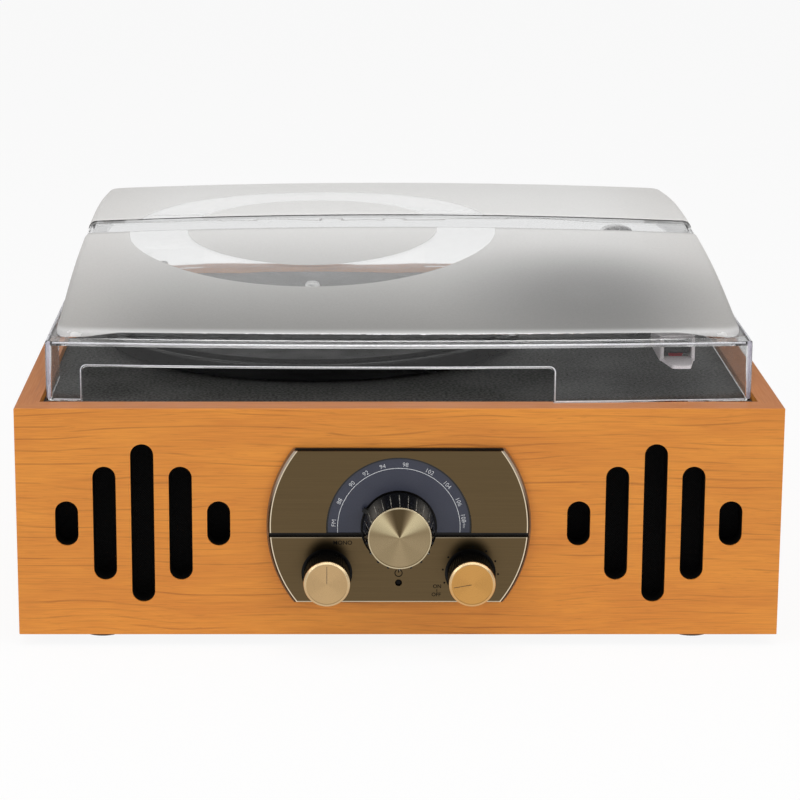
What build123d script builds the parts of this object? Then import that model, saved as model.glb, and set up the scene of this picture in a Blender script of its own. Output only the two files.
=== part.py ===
from build123d import *
import os
from math import cos, radians, sin

# A compact record player with an FM radio. Millimetres, +X to the right, +Y to the back, +Z up.
# The origin is the middle of the whole outline, on the surface that the feet stand on.

# Clearances
fixed_gap = 0.02
running_gap = 0.05
resting_gap = 0.3
print_gap = 0.1
cut_margin = 1.0

# Cabinet
case_width = 330.0
case_depth = 310.0
case_height = 102.0
side_thickness = 10.0
front_thickness = 11.0
rear_thickness = 11.0
bottom_thickness = 9.0
bottom_recess = 2.0
board_edge_round = 0.6
corner_block_size = 10.5
corner_block_height = 20.0
foot_height = 5.0
foot_radius = 10.0
foot_inset_x = 35.0
foot_inset_y = 22.0
foot_screw_recess = 3.0

# Screws
screw_head_radius = 2.6
screw_head_height = 1.5
screw_shank_radius = 1.4
screw_cross_width = 0.8
screw_cross_depth = 0.8
case_screw_length = 16.0
short_screw_length = 7.0
board_screw_length = 5.0

# Speakers
speaker_inset = 44.5
speaker_height = 50.5
slot_width = 10.0
slot_pitch = 16.4
slot_heights = (20.0, 51.0, 71.0, 51.0, 20.0)
basket_radius = 36.0
basket_opening_radius = 29.5
basket_flange = 2.0
basket_depth = 23.0
basket_back_radius = 20.4
basket_wall = 1.2
cone_thickness = 0.6
voice_coil_radius = 8.0
magnet_radius = 18.0
magnet_depth = 12.0
speaker_screw_circle = 33.5
cloth_radius = 38.5
cloth_thickness = 0.6
coil_opening = 2.0
cone_seat = 0.8
cone_back = 8.0
surround_width = 3.0
surround_fall = 1.6
dust_cap_rise = 3.4
dust_cap_shoulder = 5.0
dust_cap_shoulder_rise = 2.6

# Radio panel
panel_radius = 56.3
panel_half_height = 33.8
panel_height = 50.0
panel_frame_thickness = 1.5
panel_plate_thickness = 2.0
panel_frame_border = 0.7
panel_chamfer = 0.7
panel_split_height = 46.4
panel_split = 2.0
panel_opening_width = 84.0
panel_opening_height = 62.0
dial_height = 49.7
dial_radius = 31.3
dial_hole_radius = 16.5
dial_thickness = 1.3
tuning_reach = 19.0
tuning_cap_radius = 13.6
tuning_cap_thickness = 1.4
tuning_cap_rim = 0.8
tuning_cap_hollow = 0.3
tuning_skirt_radius = 15.8
tuning_rib_count = 18
tuning_rib_width = 0.9
tuning_rib_height = 1.0
tuning_rib_root = 0.5
pointer_angle = 150.5
pointer_length = 2.0
pointer_width = 1.8
pointer_thickness = 2.5
pointer_root = 1.0
small_knob_offset = 31.0
small_knob_height = 29.2
small_knob_radius = 10.0
small_knob_reach = 19.2
small_knob_chamfer = 1.0
small_knob_recess_radius = 11.0
knob_line_width = 0.5
knob_line_depth = 0.3
knob_line_length = 8.0
volume_line_angle = 190.0
shaft_radius = 3.0
shaft_grip = 6.0
shaft_clearance = 1.0
led_offset = 0.0
led_height = 24.9
led_radius = 1.5
led_sunk = 0.6

# Radio board behind the panel
radio_board_depth = 14.0
radio_board_thickness = 1.6
radio_board_width = 80.0
radio_board_height = 60.0
boss_radius = 3.5
upper_boss = (36.0, 25.0)
lower_boss = (14.0, -26.0)
tuner_size = 20.0
tuner_thickness = 11.0
tuner_corner = 1.5
rotary_radius = 8.0
rotary_thickness = 9.0
control_back = 2.0
chip_places = ((-18.0, 8.0), (16.0, 12.0))
chip_size = 12.0
chip_height = 3.0
terminal_drop = 12.0
terminal_width = 20.0
terminal_height = 8.0

# Amplifier board on the bottom
amplifier_inset = 70.0
amplifier_back = 110.0
amplifier_width = 90.0
amplifier_length = 60.0
amplifier_thickness = 1.6
standoff_height = 6.0
standoff_radius = 3.0
standoff_inset = 5.0
heatsink_width = 30.0
heatsink_thickness = 10.0
heatsink_height = 22.0
heatsink_place = 15.0
capacitor_radius = 5.0
capacitor_height = 16.0
capacitor_pitch = 15.0
capacitor_place = -12.0

# Rear fittings
plate_inset = 65.0
plate_height = 50.0
plate_width = 92.0
plate_tall = 38.0
plate_thickness = 2.0
plate_corner = 3.0
plate_opening_width = 76.0
plate_opening_height = 26.0
plate_screw_inset = 4.0
line_socket_radius = 4.15
line_socket_neck_radius = 4.8
line_socket_bore = 1.6
line_socket_spacing = 18.0
line_socket_x = -14.0
socket_reach = 9.0
socket_flange_radius = 6.5
socket_flange = 1.5
socket_tail = 8.0
inlet_x = 26.0
inlet_radius = 5.5
inlet_bore = 2.9
inlet_pin_radius = 1.0
inlet_reach = 2.5
inlet_tail = 14.0
inlet_bore_depth = 9.0

# Deck
deck_recess = 3.0
deck_thickness = 3.0
deck_gap = 0.4
deck_screw_inset = 6.0

# Platter and drive, with the depth counted from the front face of the case
platter_inset = 117.0
platter_depth = 155.0
platter_radius = 99.5
platter_rise = 7.0
mat_radius = 95.0
mat_thickness = 1.5
platter_plate = 3.0
platter_rim = 3.0
platter_lift = 1.0
platter_edge_round = 1.0
hub_radius = 12.0
drive_ring_radius = 56.0
drive_ring_wall = 4.0
spindle_radius = 3.6
spindle_rise = 22.0
spindle_hub_radius = 4.0
spindle_shaft_radius = 3.0
spindle_tip = 2.0
bearing_radius = 6.0
bearing_flange_radius = 10.0
bearing_flange = 2.5
bearing_length = 22.0
bearing_floor = 2.0
belt_height = 3.2
belt_thickness = 0.8
belt_gap = 0.1
pulley_radius = 4.0
pulley_flange_radius = 5.2
pulley_flange = 0.7
pulley_distance = 75.0
pulley_angle = 140.0
motor_shaft_radius = 1.0
motor_radius = 16.0
motor_height = 25.0
motor_bore = 15.0
motor_shaft_length = 12.5
motor_boss_radius = 5.5
motor_screw_circle = 11.0

# Tonearm, with its pivot placed from the inside of the right and rear walls
pivot_inset = 31.5
pivot_back = 31.0
arm_length = 216.0
arm_rise = 17.0
tube_radius = 3.5
arm_base_radius = 16.0
arm_base_height = 9.0
arm_base_stem_radius = 8.0
arm_base_stem = 8.0
arm_base_chamfer = 1.2
yoke_radius = 10.5
yoke_plate = 3.0
yoke_shaft_radius = 4.0
yoke_shaft = 12.0
yoke_ear = 2.5
yoke_ear_width = 9.0
yoke_ear_rise = 4.0
pivot_block_width = 10.0
pivot_block_length = 12.0
pivot_block_height = 9.0
pivot_block_gap = 1.2
axle_radius = 1.5
counterweight_radius = 8.5
counterweight_start = 11.5
counterweight_length = 12.0
counterweight_end = 1.0
headshell_width = 15.5
headshell_length = 36.0
headshell_height = 10.5
headshell_wall = 1.6
headshell_overhang = 14.0
headshell_rise = 5.0
headshell_collar = 10.0
headshell_socket = 8.0
headshell_corner = 2.0
headshell_edge_round = 0.8
finger_lift = 14.0
finger_lift_width = 8.0
finger_lift_thickness = 1.4
finger_lift_root = 4.0
finger_lift_round = 2.0
cartridge_width = 10.5
cartridge_length = 22.0
cartridge_height = 6.0
cartridge_chamfer = 0.8
stylus_width = 7.0
stylus_length = 14.0
stylus_height = 3.0
stylus_tip_radius = 0.5
stylus_forward = 1.0
stylus_side_taper = 1.0
stylus_end_taper = 2.0
record_allowance = 2.2
arm_rest_distance = 100.0
arm_rest_width = 12.0
arm_rest_length = 8.0
arm_rest_wall = 2.5
arm_rest_base = 2.0
arm_rest_saddle = 9.0
arm_rest_horn = 4.0
platform_distance = 45.0
platform_width = 4.0
platform_thickness = 3.0
platform_stem_radius = 2.5
platform_stem_length = 21.0
swing_limit = 40.0
arm_rest_heading = 270.0
platform_margin = 8.0
lever_inset = 16.0
lever_front = 36.0
lever_rise = 6.0
lever_hub_radius = 3.5
lever_hub_width = 6.0
lever_rod_radius = 1.5
lever_length = 22.0
lever_tip_radius = 2.6
lever_slope = 12.0
lever_ear = 2.5
lever_ear_length = 7.0
lever_axle_radius = 1.4

# Deck switches, with their distances in front of the tonearm's pivot
switch_inset = 16.0
speed_front = 78.0
stop_front = 108.0
switch_width = 8.0
speed_travel = 12.0
stop_travel = 6.0
switch_tab_length = 9.0
switch_tab_height = 4.5
switch_neck_width = 3.0
switch_neck_length = 5.0
switch_foot_thickness = 1.5
switch_foot_width = 6.0
switch_chamfer = 1.0

# Dust cover, set in from the outside of the case
cover_side = 12.5
cover_front = 12.0
cover_bow = 6.0
cover_behind = 10.0
cover_wall = 2.0
cover_skirt_rise = 26.3
cover_skirt_corner = 3.0
cover_skirt_round = 1.0
cover_seat_gap = 0.3
dome_front_step = 8.0
dome_back_step = 2.0
dome_front_side_step = 4.0
dome_back_side_step = 4.5
dome_corner = 9.0
dome_edge_round = 4.0
# Share of the dome's length, height of its middle line over the rim, and how far its edges lie lower
dome_profile = (
    (-0.05, 28.9, 0.3),
    (0.0, 31.2, 0.4),
    (0.17, 38.9, 1.0),
    (0.34, 45.9, 2.4),
    (0.52, 50.2, 3.5),
    (0.70, 52.0, 3.6),
    (0.86, 50.3, 3.5),
    (1.0, 46.8, 3.2),
    (1.05, 45.2, 3.1),
)
strip_front = 155.0
strip_width = 25.0
strip_sunk = 0.4
front_notch_shift = 3.0
notch_margin = 2.0
notch_rise = 15.4
notch_corner = 2.5
rear_notch_half_width = 60.0
hinge_inset = 32.0
hinge_behind = 5.0
hinge_rise = 4.5
hinge_pin_radius = 1.5
hinge_barrel_radius = 2.6
hinge_barrel_length = 12.0
hinge_arm_thickness = 1.5
hinge_arm_height = 6.0
hinge_ear = 3.0
hinge_ear_radius = 3.2
hinge_base_thickness = 1.5
hinge_base_length = 34.0
hinge_base_gap = 0.6
hinge_base_width = 8.4
hinge_screw_offset = 13.0

# Levels and places worked out from the sizes above
knob_reach = max(tuning_reach, small_knob_reach)
overall_depth = knob_reach + case_depth + socket_reach
case_front = knob_reach - overall_depth / 2
case_back = case_front + case_depth
half_width = case_width / 2
inner_half_width = half_width - side_thickness
speaker_offset = inner_half_width - speaker_inset
inner_front = case_front + front_thickness
inner_back = case_back - rear_thickness
wood_bottom = foot_height
rim = wood_bottom + case_height
bottom_under = wood_bottom + bottom_recess
bottom_top = bottom_under + bottom_thickness
deck_top = rim - deck_recess
deck_under = deck_top - deck_thickness
mat_top = rim + platter_rise
platter_top = mat_top - mat_thickness
platter_under = platter_top - platter_plate
platter_x = platter_inset - inner_half_width
platter_y = case_front + platter_depth
pulley_x = platter_x + pulley_distance * cos(radians(pulley_angle))
pulley_y = platter_y + pulley_distance * sin(radians(pulley_angle))
belt_low = platter_under - belt_height - resting_gap
pivot_x = inner_half_width - pivot_inset
pivot_y = inner_back - pivot_back
arm_z = rim + arm_rise
stylus_y = pivot_y - arm_length
panel_z = wood_bottom + panel_height
split_z = wood_bottom + panel_split_height
dial_z = wood_bottom + dial_height
knob_z = wood_bottom + small_knob_height
panel_reach = panel_frame_thickness + panel_plate_thickness
plate_x = inner_half_width - plate_inset
plate_z = wood_bottom + plate_height
cover_half_width = half_width - cover_side
cover_front_y = case_front + cover_front
cover_back_y = case_back - cover_behind
dome_front_y = cover_front_y + dome_front_step
dome_back_y = cover_back_y - dome_back_step
notch_half_width = platter_radius + notch_margin


def front_face(reach=0.0):
    """The upright plane that stands this far out of the case's front."""
    return Plane.XZ.offset(reach - case_front)


def rear_face(reach=0.0):
    """The upright plane that stands this far out of the case's back, still seen from the front."""
    return Plane.XZ.offset(-case_back - reach)


def level(height):
    """The level plane at this height."""
    return Plane.XY.offset(height)


def make_screw(length):
    """A pan head screw that points down, with the underside of its head at the origin."""
    with BuildPart() as screw:
        with BuildSketch(Plane.XY):
            Circle(screw_head_radius)
        extrude(amount=screw_head_height)
        fillet(screw.edges().group_by(Axis.Z)[-1], radius=screw_head_height / 2)
        with BuildSketch(Plane.XY):
            Circle(screw_shank_radius)
        extrude(amount=-length)
        with BuildSketch(Plane.XY.offset(screw_head_height)):
            Rectangle(screw_head_radius * 1.1, screw_cross_width)
            Rectangle(screw_cross_width, screw_head_radius * 1.1)
        extrude(amount=-screw_cross_depth, mode=Mode.SUBTRACT)
    return screw.part


def drill(places, radius, depth):
    """Round holes that run down from each place, used inside a part's block."""
    with Locations(*places):
        Cylinder(radius, depth, align=(Align.CENTER, Align.CENTER, Align.MAX), mode=Mode.SUBTRACT)


def place(x, y, z, turn=0.0):
    """A place for a screw: unturned it points down, and the turn is about X."""
    return Location((x, y, z), (turn, 0, 0))


# Turns that point a screw forwards, with its head to the back, and upwards
head_backward = -90.0
head_down = 180.0
screw_hole = screw_shank_radius + fixed_gap

# Places of the screws
bottom_screw_places = [
    place(sx * (inner_half_width - corner_block_size / 2), y, bottom_under, head_down)
    for sx in (-1, 1)
    for y in (inner_front + corner_block_size / 2, inner_back - corner_block_size / 2)
]
foot_places = [
    (sx * (half_width - foot_inset_x), y)
    for sx in (-1, 1)
    for y in (case_front + foot_inset_y, case_back - foot_inset_y)
]
foot_screw_places = [place(x, y, foot_screw_recess, head_down) for x, y in foot_places]
deck_screw_places = [
    place(sx * (inner_half_width - deck_screw_inset), y, deck_top)
    for sx in (-1, 1)
    for y in (inner_front + deck_screw_inset, inner_back - deck_screw_inset)
]
speaker_face = inner_front + cloth_thickness
speaker_screw_places = [
    place(
        side * speaker_offset + speaker_screw_circle * cos(radians(angle)),
        speaker_face + basket_flange,
        wood_bottom + speaker_height + speaker_screw_circle * sin(radians(angle)),
        head_backward,
    )
    for side in (-1, 1)
    for angle in (45, 135, 225, 315)
]
plate_screw_places = [
    place(
        plate_x + sx * (plate_width / 2 - plate_screw_inset),
        case_back + plate_thickness,
        plate_z + sz * (plate_tall / 2 - plate_screw_inset),
        head_backward,
    )
    for sx in (-1, 1)
    for sz in (-1, 1)
]
hinge_x = half_width - hinge_inset
hinge_y = case_back - hinge_behind
hinge_z = rim + hinge_rise
hinge_base_y = cover_back_y + hinge_base_gap + hinge_base_width / 2
hinge_screw_places = [
    place(side * hinge_x + offset, hinge_base_y, rim + hinge_base_thickness)
    for side in (-1, 1)
    for offset in (-hinge_screw_offset, hinge_screw_offset)
]
boss_places = [(sx * upper_boss[0], panel_z + upper_boss[1]) for sx in (-1, 1)]
boss_places += [(sx * lower_boss[0], panel_z + lower_boss[1]) for sx in (-1, 1)]
radio_board_back = case_front + radio_board_depth + radio_board_thickness
radio_screw_places = [place(x, radio_board_back, z, head_backward) for x, z in boss_places]
amplifier_x = inner_half_width - amplifier_inset
amplifier_y = case_back - amplifier_back
standoff_places = [
    (
        amplifier_x + sx * (amplifier_width / 2 - standoff_inset),
        amplifier_y + sy * (amplifier_length / 2 - standoff_inset),
    )
    for sx in (-1, 1)
    for sy in (-1, 1)
]
amplifier_top = bottom_top + standoff_height + amplifier_thickness
amplifier_screw_places = [place(x, y, amplifier_top) for x, y in standoff_places]
motor_screw_places = [
    place(pulley_x + side * motor_screw_circle, pulley_y, deck_top) for side in (-1, 1)
]


# Front board, with its ten sound slots and the opening behind the radio panel
with BuildPart() as front_board:
    with BuildSketch(level(wood_bottom)):
        with BuildLine():
            Polyline(
                (-half_width, case_front),
                (half_width, case_front),
                (inner_half_width, inner_front),
                (-inner_half_width, inner_front),
                close=True,
            )
        make_face()
    extrude(amount=case_height)
    fillet(front_board.edges().filter_by(Axis.X).group_by(Axis.Y)[0], radius=board_edge_round)
    with BuildSketch(front_face()):
        for side in (-1, 1):
            for index, slot_height in enumerate(slot_heights):
                slot_x = side * speaker_offset + (index - 2) * slot_pitch
                with Locations((slot_x, wood_bottom + speaker_height)):
                    SlotOverall(slot_height, slot_width, rotation=90)
        with Locations((0, panel_z)):
            Rectangle(panel_opening_width, panel_opening_height)
    extrude(amount=-front_thickness, mode=Mode.SUBTRACT)
    drill(speaker_screw_places, screw_hole, short_screw_length)

# Side boards, mitred to the front and rear boards
side_boards = {}
for side_name, side in (("left_board", -1), ("right_board", 1)):
    with BuildPart() as side_board:
        with BuildSketch(level(wood_bottom)):
            with BuildLine():
                Polyline(
                    (side * half_width, case_front),
                    (side * half_width, case_back),
                    (side * inner_half_width, inner_back),
                    (side * inner_half_width, inner_front),
                    close=True,
                )
            make_face()
        extrude(amount=case_height)
        outer_edges = side_board.edges().filter_by(Axis.Y).sort_by(Axis.X)
        outer_pair = outer_edges[:2] if side < 0 else outer_edges[-2:]
        fillet(outer_pair, radius=board_edge_round)
    side_boards[side_name] = side_board

# Rear board, with the opening for the sockets
with BuildPart() as rear_board:
    with BuildSketch(level(wood_bottom)):
        with BuildLine():
            Polyline(
                (-half_width, case_back),
                (half_width, case_back),
                (inner_half_width, inner_back),
                (-inner_half_width, inner_back),
                close=True,
            )
        make_face()
    extrude(amount=case_height)
    fillet(rear_board.edges().filter_by(Axis.X).group_by(Axis.Y)[-1], radius=board_edge_round)
    with BuildSketch(rear_face()):
        with Locations((plate_x, plate_z)):
            Rectangle(plate_opening_width, plate_opening_height)
    extrude(amount=rear_thickness, mode=Mode.SUBTRACT)
    drill(plate_screw_places, screw_hole, short_screw_length)
    drill(hinge_screw_places, screw_hole, short_screw_length)

# Bottom board, let in between the four walls
with BuildPart() as bottom_board:
    with BuildSketch(level(bottom_under)):
        with Locations((0, (inner_front + inner_back) / 2)):
            Rectangle(2 * inner_half_width, inner_back - inner_front)
    extrude(amount=bottom_thickness)
    drill(bottom_screw_places, screw_hole, case_screw_length)
    drill(foot_screw_places, screw_hole, case_screw_length)
    drill([place(x, y, bottom_top) for x, y in standoff_places], screw_hole, bottom_thickness / 2)

# Glue blocks in the corners, low ones for the bottom and high ones for the deck
with BuildPart() as corner_blocks:
    for block_low in (bottom_top, deck_under - corner_block_height):
        with BuildSketch(level(block_low)):
            for sx in (-1, 1):
                for block_y in (
                    inner_front + corner_block_size / 2,
                    inner_back - corner_block_size / 2,
                ):
                    with Locations((sx * (inner_half_width - corner_block_size / 2), block_y)):
                        Rectangle(corner_block_size, corner_block_size)
        extrude(amount=corner_block_height)
    drill(bottom_screw_places, screw_hole, case_screw_length)
    drill(deck_screw_places, screw_hole, case_screw_length)

# Rubber feet, each with a sunk hole for its screw
with BuildPart() as rubber_feet:
    with BuildSketch(Plane.XY):
        with Locations(*foot_places):
            Circle(foot_radius)
    extrude(amount=bottom_under)
    fillet(rubber_feet.edges().group_by(Axis.Z)[0], radius=board_edge_round)
    with BuildSketch(Plane.XY):
        with Locations(*foot_places):
            Circle(screw_head_radius + resting_gap)
    extrude(amount=foot_screw_recess, mode=Mode.SUBTRACT)
    drill(foot_screw_places, screw_hole, case_screw_length)

case_screw = make_screw(case_screw_length)
short_screw = make_screw(short_screw_length)
board_screw = make_screw(board_screw_length)
foot_screw = make_screw(bottom_top - foot_screw_recess - cut_margin)

with BuildPart() as case_screws:
    with Locations(*bottom_screw_places):
        add(case_screw)
    with Locations(*foot_screw_places):
        add(foot_screw)

with BuildPart() as deck_screws:
    with Locations(*deck_screw_places):
        add(case_screw)

with BuildPart() as speaker_screws:
    with Locations(*speaker_screw_places):
        add(short_screw)

with BuildPart() as fitting_screws:
    with Locations(*plate_screw_places, *hinge_screw_places):
        add(short_screw)

with BuildPart() as board_screws:
    with Locations(*radio_screw_places, *amplifier_screw_places, *motor_screw_places):
        add(board_screw)


# Speakers. Their profiles are drawn as radius and distance behind the cloth.
def spin_speaker(points):
    """Turns a closed profile of radius and depth around both speakers' axes."""
    for side in (-1, 1):
        axis_x = side * speaker_offset
        axis_z = wood_bottom + speaker_height
        with BuildSketch(level(axis_z)) as profile:
            with BuildLine():
                Polyline(*[(axis_x + r, speaker_face + d) for r, d in points], close=True)
            make_face()
        revolve(profile.sketch, axis=Axis((axis_x, 0, axis_z), (0, 1, 0)))


basket_slope = (basket_opening_radius - basket_back_radius) / basket_depth
with BuildPart() as speaker_baskets:
    spin_speaker(
        [
            (basket_radius, 0),
            (basket_radius, basket_flange),
            (basket_opening_radius + basket_wall, basket_flange),
            (basket_back_radius, basket_depth),
            (voice_coil_radius + coil_opening, basket_depth),
            (voice_coil_radius + coil_opening, basket_depth - basket_wall),
            (basket_back_radius - basket_wall, basket_depth - basket_wall),
            (basket_opening_radius, 0),
        ]
    )
    drill(speaker_screw_places, screw_hole, short_screw_length)

cone_rim = basket_opening_radius - 2 * basket_slope - print_gap
cone_depth = basket_depth - cone_back
coil_end = basket_depth - print_gap
with BuildPart() as speaker_cones:
    spin_speaker(
        [
            (cone_rim, cone_seat),
            (cone_rim, cone_seat + cone_thickness),
            (cone_rim - surround_width, cone_seat + surround_fall),
            (voice_coil_radius, cone_depth + cone_thickness),
            (voice_coil_radius, coil_end),
            (voice_coil_radius - cone_thickness, coil_end),
            (voice_coil_radius - cone_thickness, cone_depth),
            (dust_cap_shoulder, cone_depth - dust_cap_shoulder_rise),
            (0, cone_depth - dust_cap_rise),
            (0, cone_depth - dust_cap_rise - cone_thickness),
            (dust_cap_shoulder, cone_depth - dust_cap_shoulder_rise - cone_thickness),
            (voice_coil_radius, cone_depth - cone_thickness),
            (cone_rim - surround_width, cone_seat + surround_fall - cone_thickness),
        ]
    )

with BuildPart() as speaker_magnets:
    with BuildSketch(Plane.XZ.offset(-speaker_face - basket_depth)):
        with Locations(*[(side * speaker_offset, wood_bottom + speaker_height) for side in (-1, 1)]):
            Circle(magnet_radius)
    extrude(amount=-magnet_depth)
    chamfer(speaker_magnets.edges().group_by(Axis.Y)[-1], length=board_edge_round)

with BuildPart() as grille_cloths:
    with BuildSketch(Plane.XZ.offset(-inner_front)):
        with Locations(*[(side * speaker_offset, wood_bottom + speaker_height) for side in (-1, 1)]):
            Circle(cloth_radius)
    extrude(amount=-cloth_thickness)
    drill(speaker_screw_places, screw_hole, short_screw_length)


# Radio panel: a black frame that carries an upper and a lower metal plate
def panel_outline(radius, half_height):
    """A disc cut by two level flats, drawn inside a sketch on an upright plane."""
    with Locations((0, panel_z)):
        Circle(radius)
        Rectangle(2 * radius, 2 * half_height, mode=Mode.INTERSECT)


with BuildPart() as panel_frame:
    with BuildSketch(front_face()):
        panel_outline(panel_radius + panel_frame_border, panel_half_height + panel_frame_border)
    extrude(amount=panel_frame_thickness)
    with BuildSketch(front_face()):
        with Locations(*boss_places):
            Circle(boss_radius)
    extrude(amount=-radio_board_depth)
    with BuildSketch(front_face(panel_frame_thickness)):
        with Locations((0, dial_z), (-small_knob_offset, knob_z), (small_knob_offset, knob_z)):
            Circle(shaft_radius + shaft_clearance)
        with Locations((led_offset, wood_bottom + led_height)):
            Circle(led_radius + fixed_gap)
    extrude(amount=-panel_frame_thickness, mode=Mode.SUBTRACT)
    drill(radio_screw_places, screw_hole, board_screw_length)

with BuildPart() as upper_panel:
    with BuildSketch(front_face(panel_frame_thickness)):
        panel_outline(panel_radius, panel_half_height)
        with Locations((0, split_z + panel_split / 2)):
            Rectangle(
                2 * panel_radius,
                2 * panel_half_height,
                align=(Align.CENTER, Align.MIN),
                mode=Mode.INTERSECT,
            )
        with Locations((0, dial_z)):
            Circle(dial_radius, mode=Mode.SUBTRACT)
    extrude(amount=panel_plate_thickness)
    outer_arcs = upper_panel.edges().group_by(Axis.Y)[0].filter_by(GeomType.CIRCLE)
    chamfer(outer_arcs.filter_by(lambda edge: edge.radius > panel_radius - panel_frame_border), length=panel_chamfer)

with BuildPart() as lower_panel:
    with BuildSketch(front_face(panel_frame_thickness)):
        panel_outline(panel_radius, panel_half_height)
        with Locations((0, split_z - panel_split / 2)):
            Rectangle(
                2 * panel_radius,
                2 * panel_half_height,
                align=(Align.CENTER, Align.MAX),
                mode=Mode.INTERSECT,
            )
        with Locations((0, dial_z)):
            Circle(dial_hole_radius, mode=Mode.SUBTRACT)
        with Locations((-small_knob_offset, knob_z), (small_knob_offset, knob_z)):
            Circle(small_knob_recess_radius, mode=Mode.SUBTRACT)
        with Locations((led_offset, wood_bottom + led_height)):
            Circle(led_radius + fixed_gap, mode=Mode.SUBTRACT)
    extrude(amount=panel_plate_thickness)
    outer_arcs = lower_panel.edges().group_by(Axis.Y)[0].filter_by(GeomType.CIRCLE)
    chamfer(outer_arcs.filter_by(lambda edge: edge.radius > panel_radius - panel_frame_border), length=panel_chamfer)

with BuildPart() as dial_plate:
    with BuildSketch(front_face(panel_frame_thickness)):
        with Locations((0, dial_z)):
            Circle(dial_radius - print_gap)
        with Locations((0, split_z + panel_split / 2)):
            Rectangle(
                2 * dial_radius,
                2 * dial_radius,
                align=(Align.CENTER, Align.MIN),
                mode=Mode.INTERSECT,
            )
        with Locations((0, dial_z)):
            Circle(dial_hole_radius, mode=Mode.SUBTRACT)
    extrude(amount=dial_thickness)

with BuildPart() as power_led:
    with BuildSketch(front_face(panel_reach - led_sunk)):
        with Locations((led_offset, wood_bottom + led_height)):
            Circle(led_radius)
    extrude(amount=-(radio_board_depth + panel_reach - led_sunk))
    fillet(power_led.edges().group_by(Axis.Y)[0], radius=led_radius / 2)

# Tuning knob: a ribbed black skirt with a pointer, under a spun metal cap
knob_back_reach = panel_reach + resting_gap
tuning_skirt_front = tuning_reach - tuning_cap_thickness
with BuildPart() as tuning_knob:
    with BuildSketch(front_face(knob_back_reach)):
        with Locations((0, dial_z)):
            Circle(tuning_skirt_radius)
    with BuildSketch(front_face(tuning_skirt_front)):
        with Locations((0, dial_z)):
            Circle(tuning_cap_radius)
    loft()
    with BuildSketch(front_face(knob_back_reach)):
        for index in range(tuning_rib_count):
            rib_angle = 360.0 / tuning_rib_count * (index + 0.5)
            rib_middle = tuning_cap_radius + (tuning_rib_height - tuning_rib_root) / 2
            rib_x = rib_middle * cos(radians(rib_angle))
            rib_z = dial_z + rib_middle * sin(radians(rib_angle))
            with Locations(Location((rib_x, rib_z, 0), (0, 0, rib_angle))):
                Rectangle(tuning_rib_height + tuning_rib_root, tuning_rib_width)
    extrude(amount=tuning_skirt_front - knob_back_reach - print_gap)
    with BuildSketch(front_face(knob_back_reach)):
        pointer_middle = tuning_skirt_radius + (pointer_length - pointer_root) / 2
        pointer_x = pointer_middle * cos(radians(pointer_angle))
        pointer_z = dial_z + pointer_middle * sin(radians(pointer_angle))
        with Locations(Location((pointer_x, pointer_z, 0), (0, 0, pointer_angle))):
            Rectangle(pointer_length + pointer_root, pointer_width)
    extrude(amount=pointer_thickness)
    with BuildSketch(front_face(knob_back_reach)):
        with Locations((0, dial_z)):
            Circle(shaft_radius + fixed_gap)
    extrude(amount=shaft_grip, mode=Mode.SUBTRACT)

with BuildPart() as tuning_cap:
    with BuildSketch(front_face(tuning_skirt_front)):
        with Locations((0, dial_z)):
            Circle(tuning_cap_radius)
    extrude(amount=tuning_cap_thickness)
    fillet(tuning_cap.edges().group_by(Axis.Y)[0], radius=tuning_cap_thickness / 4)
    with BuildSketch(front_face(tuning_reach)):
        with Locations((0, dial_z)):
            Circle(tuning_cap_radius - tuning_cap_rim)
    extrude(amount=-tuning_cap_hollow, mode=Mode.SUBTRACT)

# Small knobs: the selector's line points up, the volume knob's line points at off
small_knobs = {}
for knob_name, knob_side, line_angle in (
    ("function_knob", -1, 90.0),
    ("volume_knob", 1, volume_line_angle),
):
    with BuildPart() as small_knob:
        knob_x = knob_side * small_knob_offset
        with BuildSketch(front_face(knob_back_reach)):
            with Locations((knob_x, knob_z)):
                Circle(small_knob_radius)
        extrude(amount=small_knob_reach - knob_back_reach)
        chamfer(small_knob.edges().group_by(Axis.Y)[0], length=small_knob_chamfer)
        with BuildSketch(front_face(small_knob_reach)):
            line_middle = knob_line_length / 2
            line_x = knob_x + line_middle * cos(radians(line_angle))
            line_z = knob_z + line_middle * sin(radians(line_angle))
            with Locations(Location((line_x, line_z, 0), (0, 0, line_angle))):
                Rectangle(knob_line_length, knob_line_width)
        extrude(amount=-knob_line_depth, mode=Mode.SUBTRACT)
        with BuildSketch(front_face(knob_back_reach)):
            with Locations((knob_x, knob_z)):
                Circle(shaft_radius + fixed_gap)
        extrude(amount=shaft_grip, mode=Mode.SUBTRACT)
    small_knobs[knob_name] = small_knob

# Shafts that join the knobs to the parts on the radio board
shafts = {}
shaft_front = knob_back_reach + shaft_grip - print_gap
shaft_back = radio_board_depth - control_back - resting_gap
for shaft_name, shaft_x, shaft_z in (
    ("tuning_shaft", 0.0, dial_z),
    ("function_shaft", -small_knob_offset, knob_z),
    ("volume_shaft", small_knob_offset, knob_z),
):
    with BuildPart() as shaft:
        with BuildSketch(front_face(shaft_front)):
            with Locations((shaft_x, shaft_z)):
                Circle(shaft_radius)
        extrude(amount=-(shaft_front + shaft_back))
    shafts[shaft_name] = shaft

with BuildPart() as tuning_capacitor:
    with BuildSketch(front_face(-radio_board_depth)):
        with Locations((0, dial_z)):
            RectangleRounded(tuner_size, tuner_size, tuner_corner)
    extrude(amount=tuner_thickness)
    with BuildSketch(front_face(tuner_thickness - radio_board_depth)):
        with Locations((0, dial_z)):
            Circle(shaft_radius + running_gap)
    extrude(amount=-(tuner_thickness - control_back), mode=Mode.SUBTRACT)

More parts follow.
